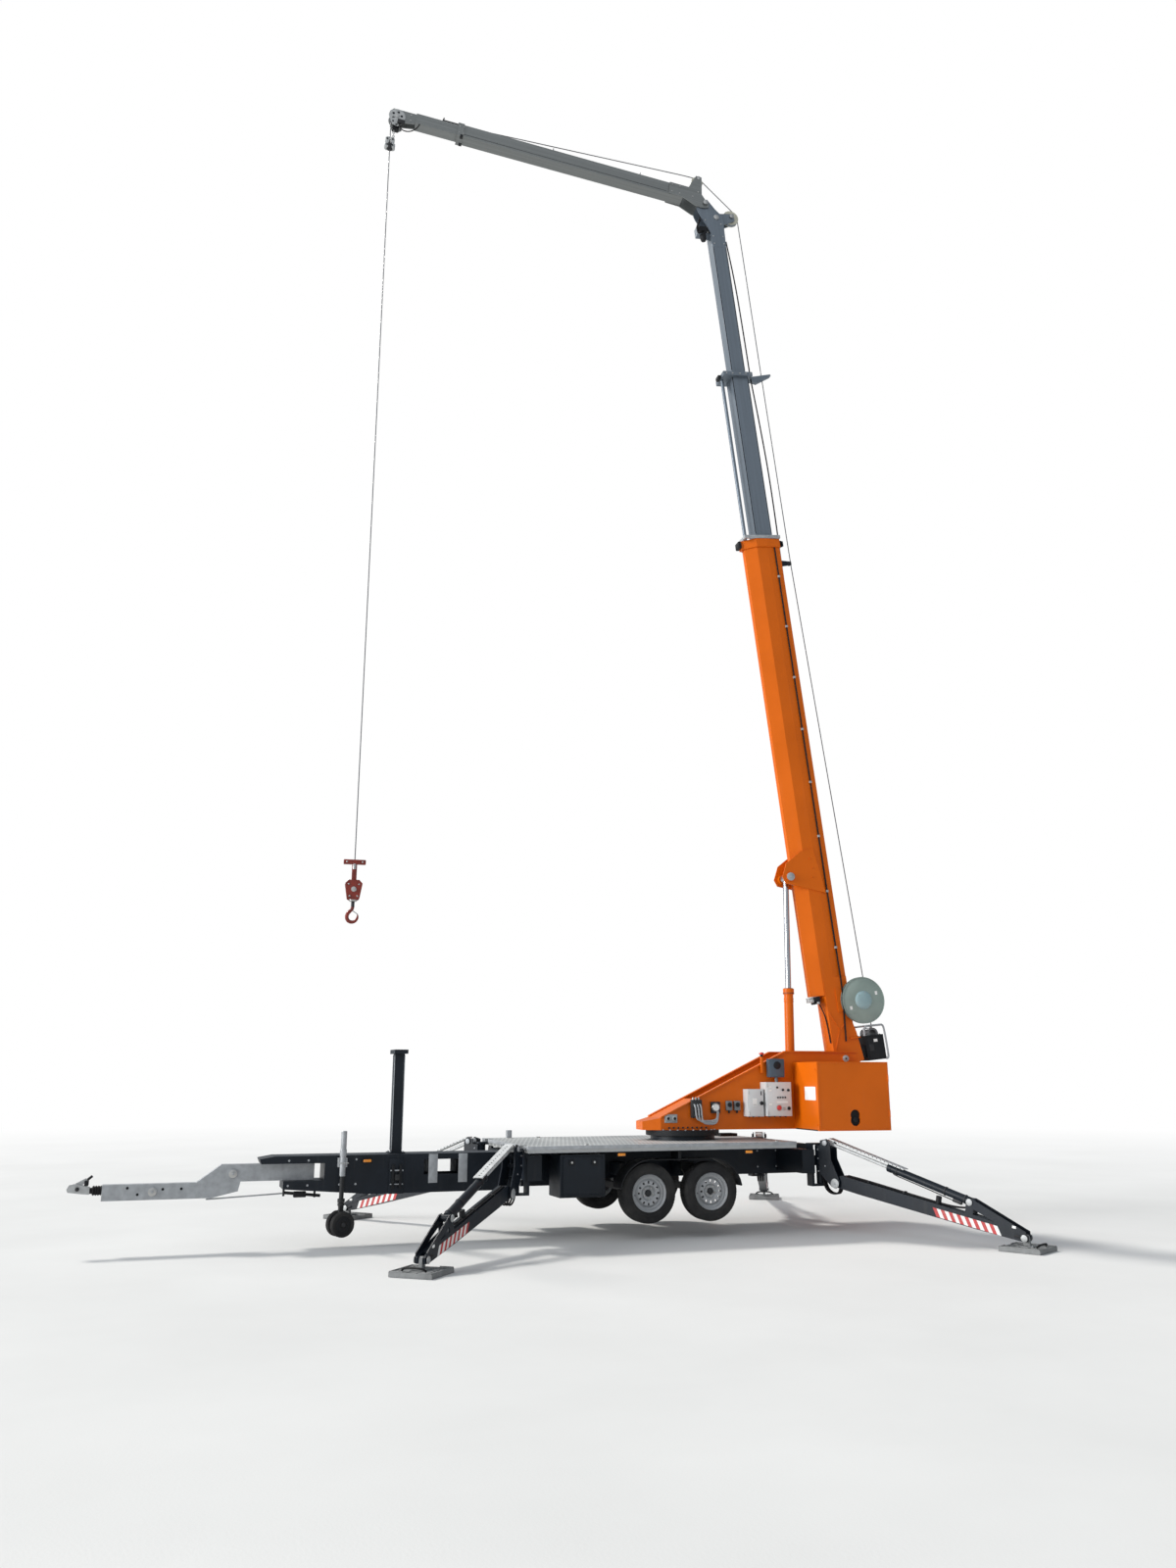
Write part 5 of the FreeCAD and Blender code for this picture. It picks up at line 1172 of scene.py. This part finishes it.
class CRANE_OT_knuckle(bpy.types.Operator):
    """Pins, sheave rims, actuator and hoses of the knuckle"""

    bl_idname = "crane.knuckle"
    bl_label = "Knuckle fittings"

    def execute(self, context):
        for side in (-1, 1):
            turned("steel", [(0.036, 0.125), (0.036, 0.132), (0.024, 0.136)], (12.272, 0, -0.089), (0, side, 0), 28)
            turned("steel", [(0.040, 0.086), (0.040, 0.096), (0.028, 0.100)], (12.06, 0, 0.060), (0, side, 0), 28)
            turned("steel", [(0.030, 0.062), (0.030, 0.070), (0.020, 0.074)], (12.12, 0, 0.320), (0, side, 0), 24)
            for s, t in ((11.62, -0.03), (11.62, 0.12), (11.74, -0.03), (11.74, 0.12), (11.95, 0.12), (12.0, -0.12)):
                bolt("steel", (s, side * 0.086, t), (0, side, 0), 0.010)
        spun("nylon", [(0.030, -0.026), (0.118, -0.026), (0.106, 0), (0.118, 0.026), (0.030, 0.026)],
             (12.12, 0, 0.320), (0, 1, 0), 48)
        turned("plastic", [(0.045, 0), (0.045, 0.10), (0.035, 0.13)], (11.83, 0.02, -0.16), (-1, 0, 0), 28)
        for side in (-1, 1):
            y0, y1 = sorted((side * 0.0605, side * 0.0645))
            plate("plastic", [(11.795, -0.245), (11.913, -0.245), (11.913, -0.075), (11.795, -0.060)], y0, y1, 0.001)
            for s, t in ((11.81, -0.23), (11.90, -0.23), (11.81, -0.10), (11.90, -0.10)):
                bolt("steel", (s, side * 0.0645, t), (0, side, 0), 0.009)
        hose("rubber", [(11.82, 0.070, -0.20), (11.77, 0.074, -0.23), (11.80, 0.076, -0.265), (11.92, 0.078, -0.26),
                        (12.00, 0.080, -0.19)], 0.011)
        hose("rubber", [(11.84, 0.072, -0.15), (11.80, 0.080, -0.21), (11.86, 0.082, -0.25), (11.97, 0.082, -0.23),
                        (12.04, 0.082, -0.19)], 0.009)
        fit("knuckle_fittings", "boom_section_3", BOOM)
        a, b = 0.130, 0.400
        spun("nylon", [(0.030, -0.024), (0.086, -0.024), (0.075, 0), (0.086, 0.024), (0.030, 0.024)],
             (a, 0, b), (0, 1, 0), 40)
        for side in (-1, 1):
            turned("steel", [(0.028, 0.104), (0.028, 0.110), (0.020, 0.114)], (a, 0, b), (0, side, 0), 24)
            for x, z in ((0.40, 0.05), (0.40, 0.17), (0.52, 0.05), (0.52, 0.17), (0.20, 0.06), (0.12, 0.16)):
                bolt("steel", (x, side * 0.104, z), (0, side, 0), 0.010)
            y0, y1 = sorted((side * 0.0993, side * 0.1030))
            turned("plastic", [(0.040, 0), (0.040, 0.0012)], (a, side * 0.0993, b), (0, side, 0), 28)
            plate("plastic", [(0.24, 0.168), (0.255, 0.180), (0.555, 0.066), (0.550, 0.054)], y0, y1, 0)
        fit("jib_root_fittings", "jib_tube", JIB)
        return {"FINISHED"}


class CRANE_OT_jib(bpy.types.Operator):
    """Rope guides, clamps, head cheeks and limit switch of the jib"""

    bl_idname = "crane.jib"
    bl_label = "Jib fittings"

    def execute(self, context):
        top = 0.203
        for side in (-1, 1):
            # dark strips along the jib's sides stand for its grooves: painted shade
            y0, y1 = sorted((side * 0.0852, side * 0.0864))
            block("plastic", (0.60, y0, 0.044), (3.57, y1, 0.049), 0)
            y0, y1 = sorted((side * 0.040, side * 0.096))
            block("plastic", (3.59, y0, -0.004), (3.63, y1, 0.030), 0.004)
        for x in (1.0, 2.3):
            y = 0.0
            block("cast", (x - 0.02, -0.05, top), (x + 0.02, 0.05, top + 0.012), 0.003)
            for v in (-0.035, 0.035):
                bar("cast", (x, y + v, top + 0.008), (x, y + v, top + 0.075), 0.006)
        for x in (3.60, 3.66):
            for side in (-1, 1):
                for z in (0.05, 0.16):
                    bolt("steel", (x - 0.01, side * 0.095, z), (0, side, 0), 0.008)
        # rope fork on two rails that reach forward from the collar
        for v in (-0.056, 0.056):
            block("cast", (3.60, v - 0.007, 0.211), (3.90, v + 0.007, 0.221))
            bar("plastic", (3.885, v, 0.215), (3.885, v, 0.254), 0.010)
        bar("plastic", (3.885, -0.060, 0.246), (3.885, 0.060, 0.246), 0.007)
        fit("jib_fittings", "jib_tube", JIB)
        for v in (-0.030, 0.030):
            bar("plastic", (4.20, v, 0.185), (4.20, v, 0.220), 0.010)
        bar("plastic", (4.20, -0.034, 0.212), (4.20, 0.034, 0.212), 0.006)
        for side in (-1, 1):
            spun("casting", [(0.024, 0.0525), (0.114, 0.0525), (0.114, 0.0560), (0.106, 0.0575), (0.024, 0.0575)],
                 (4.517, 0, 0.075), (0, side, 0), 48)
            y0, y1 = sorted((side * 0.0585, side * 0.0625))
            plate("casting", [(4.44, 0.02), (4.56, 0.03), (4.600, -0.02), (4.565, -0.085), (4.49, -0.10), (4.43, -0.05)],
                  y0, y1, 0.001)
            # flat dark discs stand for the holes in the cheek plate and in the sheave disc: painted shade
            for x, z in ((4.46, -0.02), (4.56, -0.03), (4.51, -0.075)):
                turned("plastic", [(0.014, 0), (0.014, 0.0008)], (x, side * 0.0625, z), (0, side, 0), 16)
            for k in range(5):
                a = 2 * pi * k / 5 + 0.5
                turned("plastic", [(0.018, 0), (0.018, 0.0008)],
                       (4.517 + 0.062 * cos(a), side * 0.0575, 0.075 + 0.062 * sin(a)), (0, side, 0), 16)
            turned("steel", [(0.030, 0.0575), (0.030, 0.062), (0.020, 0.066)], (4.517, 0, 0.075), (0, side, 0), 24)
            bolt("steel", (4.33, side * 0.052, 0.06), (0, side, 0), 0.010)
            bolt("steel", (4.33, side * 0.052, 0.15), (0, side, 0), 0.010)
        spun("cast", [(0.060, -0.020), (0.077, -0.022), (0.068, 0), (0.077, 0.022), (0.060, 0.020)],
             (4.517, 0, 0.075), (0, 1, 0), 40)
        block("cast", (4.40, 0.052, -0.06), (4.50, 0.10, 0.0), 0.006)
        block("plastic", (4.47, -0.035, -0.125), (4.56, 0.035, -0.045), 0.008)
        hose("rubber", [(4.20, 0.074, 0.02), (4.22, 0.080, -0.06), (4.30, 0.085, -0.15), (4.40, 0.080, -0.17),
                        (4.47, 0.070, -0.10), (4.47, 0.070, -0.04)], 0.008)
        fit("jib_head_fittings", "jib_extension", JIB)
        return {"FINISHED"}


class CRANE_OT_ropes(bpy.types.Operator):
    """Hoist rope from the winch over the knuckle to the hook, and the cable up the boom"""

    bl_idname = "crane.ropes"
    bl_label = "Ropes"

    def execute(self, context):
        r = context.scene.crane_sizes.rope / 2
        lift = 0.015
        # (name, first body, second body, points) in the boom's own plane
        legs = (
            ("rope_on_base", "boom_base", None, [(0.30, 0, 0.55), (2.5, 0, 0.51), (4.5, 0, 0.47), (6.65, 0, 0.430)]),
            ("rope_base_to_collar", "boom_base", "boom_section_2",
             [(6.65, 0, 0.430), (7.6, 0, 0.429), (8.6, 0, 0.428), (9.46, 0, 0.427)]),
            ("rope_collar_to_knuckle", "boom_section_2", "boom_section_3",
             [(9.46, 0, 0.427), (10.3, 0, 0.428), (11.2, 0, 0.43), (12.10, 0, 0.430)]),
        )
        for name, a, b, points in legs:
            hose("wire", points, r)
            if b is None:
                fit(name, a, BOOM)
                continue
            ob = joined(name, BOOM)
            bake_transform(ob)
        root = JIB @ Vector((0.130, 0, 0.400))
        crown = BOOM @ Vector((12.12, 0, 0.320))
        over = 0.083 + r
        lead = (root - crown).normalized()
        out = ACROSS.cross(lead)
        if out.z < 0:
            out = -out
        first = [BOOM @ Vector((12.10, 0, 0.430)), BOOM @ Vector((12.17, 0, 0.430)),
                 crown + out * (0.115 + r) + lead * 0.03, root + out * over - lead * 0.05, root + out * over]
        hose("wire", [tuple(p) for p in first], r)
        ob = joined("rope_over_knuckle")
        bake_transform(ob)
        top = [tuple(root + out * over), tuple(JIB @ Vector((0.20, 0, 0.482))), tuple(JIB @ Vector((0.6, 0, 0.455))),
               tuple(JIB @ Vector((1.8, 0, 0.372))), tuple(JIB @ Vector((3.2, 0, 0.275))),
               tuple(JIB @ Vector((4.3, 0, 0.196))), tuple(JIB @ Vector((4.50, 0, 0.163)))]
        hose("wire", top, r)
        ob = joined("rope_over_jib")
        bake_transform(ob)
        # hanging leg: from the tip sheave to the hook block, with its turn round the sheave
        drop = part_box("hoist_rope")
        x = (drop[0].x + drop[1].x) / 2
        y = (drop[0].y + drop[1].y) / 2
        low, high = drop[0].z, drop[1].z
        hose("wire", [(x, y, low), (x, y, low + 0.3), (x, y, (low + high) / 2), (x, y, high - 0.3), (x, y, high)], r)
        ob = joined("rope_hanging")
        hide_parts("hoist_rope")
        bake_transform(ob)
        tip = JIB @ Vector((4.517, 0, 0.075))
        turn = []
        for k in range(7):
            a = pi * k / 12
            turn.append(tuple(tip + FORWARD * (0.0803 * cos(a)) + UP * (0.0803 * sin(a))))
        hose("wire", [(x, y, high - 0.1)] + turn[:-1] + [top[-1]], r)
        fit("rope_round_tip", "jib_extension")
        # control cable behind the boom, clipped at the collars
        cables = (
            ("cable_on_base", "boom_base", None,
             [(0.70, 0.17, 0.12), (0.95, 0.05, 0.255), (1.6, 0.03, 0.262), (4.0, 0.03, 0.262), (6.80, 0.03, 0.275),
              (7.00, 0.03, 0.285)]),
            ("cable_to_collar", "boom_base", "boom_section_2",
             [(7.00, 0.03, 0.285), (7.8, 0.03, 0.300), (8.7, 0.03, 0.275), (9.45, 0.03, 0.240)]),
            ("cable_to_knuckle", "boom_section_2", "boom_section_3",
             [(9.45, 0.03, 0.240), (10.2, 0.03, 0.238), (11.0, 0.03, 0.228), (11.70, 0.03, 0.185)]),
        )
        for name, a, b, points in cables:
            hose("rubber", points, 0.010)
            if b is None:
                fit(name, a, BOOM)
                continue
            ob = joined(name, BOOM)
            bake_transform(ob)
        return {"FINISHED"}


class CRANE_OT_hook(bpy.types.Operator):
    """Hook block with cheeks, swivel, hook and safety latch, and the limit weight"""

    bl_idname = "crane.hook"
    bl_label = "Hook block"

    def execute(self, context):
        low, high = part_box("hook_block")
        centre = (low + high) / 2
        grid = axes(Vector((centre.x, centre.y, low.z)), FORWARD, ACROSS)
        # cheeks and cover of the block
        outline = [(-0.100, 0.470), (-0.060, 0.512), (0.060, 0.512), (0.100, 0.470), (0.070, 0.292), (0.045, 0.280),
                   (-0.045, 0.280), (-0.070, 0.292)]
        for y0, y1 in ((-0.054, -0.044), (0.044, 0.054)):
            plate("hook_red", outline, y0, y1, 0.003)
        small = [(x * 0.86, 0.40 + (z - 0.40) * 0.86) for x, z in outline]
        plate("cast", small, -0.044, 0.044, 0.006)
        for side in (-1, 1):
            for x, z in ((-0.06, 0.46), (0.06, 0.46), (-0.045, 0.32), (0.045, 0.32)):
                bolt("steel", (x, side * 0.054, z), (0, side, 0), 0.009)
            turned("steel", [(0.030, 0.054), (0.030, 0.062), (0.020, 0.066)], (0, 0, 0.40), (0, side, 0), 28)
        # neck with rope socket and the cross bar that lifts the limit weight
        block("hook_red", (-0.028, -0.019, 0.505), (0.028, 0.019, 0.705), 0.004)
        block("hook_red", (-0.128, -0.024, 0.700), (0.128, 0.024, 0.756), 0.008)
        turned("steel", [(0.026, 0.640), (0.026, 0.700), (0.014, 0.730)], (0, 0, 0), UP, 24)
        for x in (-0.09, 0.09):
            bolt("steel", (x, 0.024, 0.728), (0, 1, 0), 0.010)
        # swivel nut and shank
        turned("steel", [(0.042, 0.262), (0.046, 0.268), (0.046, 0.284), (0.040, 0.290)], (0, 0, 0), UP, 28)
        turned("cast", [(0.020, 0.196), (0.020, 0.272)], (0, 0, 0), UP, 24)
        # bowl of the hook, thick in the middle and thin at the nose
        path = [(0.000, 0.205, 0.0200), (0.000, 0.178, 0.0200), (0.028, 0.150, 0.0205), (0.055, 0.118, 0.0210),
                (0.064, 0.080, 0.0215), (0.050, 0.040, 0.0215), (0.015, 0.021, 0.0205), (-0.025, 0.026, 0.0180),
                (-0.055, 0.055, 0.0150), (-0.064, 0.090, 0.0115), (-0.060, 0.112, 0.0060)]
        clear()
        bpy.ops.curve.primitive_nurbs_path_add()
        ob = bpy.context.object
        line = ob.data.splines[0]
        line.points.add(len(path) - len(line.points))
        for point, (x, z, r) in zip(line.points, path):
            point.co = (x, 0, z, 1)
            point.radius = r / 0.02
        line.order_u = 3
        line.use_endpoint_u = True
        line.resolution_u = 8
        ob.data.bevel_depth = 0.02
        ob.data.bevel_resolution = 4
        ob.data.use_fill_caps = True
        bpy.ops.object.convert(target="MESH")
        ob = bpy.context.object
        editing(True)
        bpy.ops.mesh.select_all(action="SELECT")
        bpy.ops.mesh.remove_doubles(threshold=0.00005)
        bpy.ops.mesh.normals_make_consistent(inside=False)
        editing(False)
        ob.data.materials.clear()
        settle(ob, "hook_red")
        plate("steel", [(0.030, 0.170), (0.018, 0.176), (-0.064, 0.118), (-0.066, 0.106)], -0.008, 0.008, 0.001)
        bar("steel", (0.022, -0.022, 0.170), (0.022, 0.022, 0.170), 0.006)
        fit("hook_and_block", "hook_block", grid, ("hook_block",))
        low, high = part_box("limit_weight")
        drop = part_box("hoist_rope")
        x = (drop[0].x + drop[1].x) / 2
        y = (drop[0].y + drop[1].y) / 2
        grid = axes(Vector((x, y, low.z)), FORWARD, ACROSS)
        spun("cast", [(0.010, 0.001), (0.038, 0.001), (0.0445, 0.008), (0.0445, 0.030), (0.041, 0.034),
                      (0.0445, 0.038), (0.0445, 0.080), (0.038, 0.089), (0.010, 0.089)], (0, 0, 0), UP, 40)
        for side in (-1, 1):
            half = [(0.008, 0.004), (0.050, 0.004), (0.072, 0.024), (0.072, 0.066), (0.052, 0.082), (0.050, 0.112),
                    (0.064, 0.124), (0.062, 0.158), (0.040, 0.176), (0.008, 0.176)]
            plate("casting", [(side * x, z) for x, z in half], -0.036, 0.036, 0.004)
            for z in (0.045, 0.140):
                bolt("plastic", (side * 0.036, 0.036, z), (0, 1, 0), 0.012)
                bolt("plastic", (side * 0.036, -0.036, z), (0, -1, 0), 0.012)
        for k in range(6):
            z = 0.190 + 0.031 * k
            way = (0, 1, 0) if k % 2 else (1, 0, 0)
            spun("steel", [(0.010, -0.0035), (0.018, -0.0035), (0.018, 0.0035), (0.010, 0.0035)], (-0.045, 0, z), way, 20)
        fit("limit_weight_turned", "limit_weight", grid, ("limit_weight",))
        return {"FINISHED"}


OPERATORS = (CRANE_OT_stage, CRANE_OT_finishes, CRANE_OT_tyres, CRANE_OT_wheels, CRANE_OT_trailer, CRANE_OT_jockey,
             CRANE_OT_outriggers, CRANE_OT_turret, CRANE_OT_boom, CRANE_OT_knuckle, CRANE_OT_jib, CRANE_OT_ropes,
             CRANE_OT_hook)


class CRANE_PT_panel(bpy.types.Panel):
    bl_idname = "CRANE_PT_panel"
    bl_label = "Trailer crane"
    bl_space_type = "VIEW_3D"
    bl_region_type = "UI"
    bl_category = "Crane"

    def draw(self, context):
        for key in CraneSizes.__annotations__:
            self.layout.prop(context.scene.crane_sizes, key)
        for key in CraneColours.__annotations__:
            self.layout.prop(context.scene.crane_colours, key)
        for op in OPERATORS:
            self.layout.operator(op.bl_idname)


CLASSES = (CraneSizes, CraneColours, *OPERATORS, CRANE_PT_panel)


def register():
    for cls in CLASSES:
        bpy.utils.register_class(cls)
    bpy.types.Scene.crane_sizes = PointerProperty(type=CraneSizes)
    bpy.types.Scene.crane_colours = PointerProperty(type=CraneColours)


def unregister():
    del bpy.types.Scene.crane_colours
    del bpy.types.Scene.crane_sizes
    for cls in reversed(CLASSES):
        bpy.utils.unregister_class(cls)


def main():
    register()
    bpy.ops.crane.stage()
    bpy.ops.crane.finishes()
    bpy.ops.crane.tyres()
    bpy.ops.crane.wheels()
    bpy.ops.crane.trailer()
    bpy.ops.crane.jockey()
    bpy.ops.crane.outriggers()
    bpy.ops.crane.turret()
    bpy.ops.crane.boom()
    bpy.ops.crane.knuckle()
    bpy.ops.crane.jib()
    bpy.ops.crane.ropes()
    bpy.ops.crane.hook()


if __name__ == "__main__":
    main()
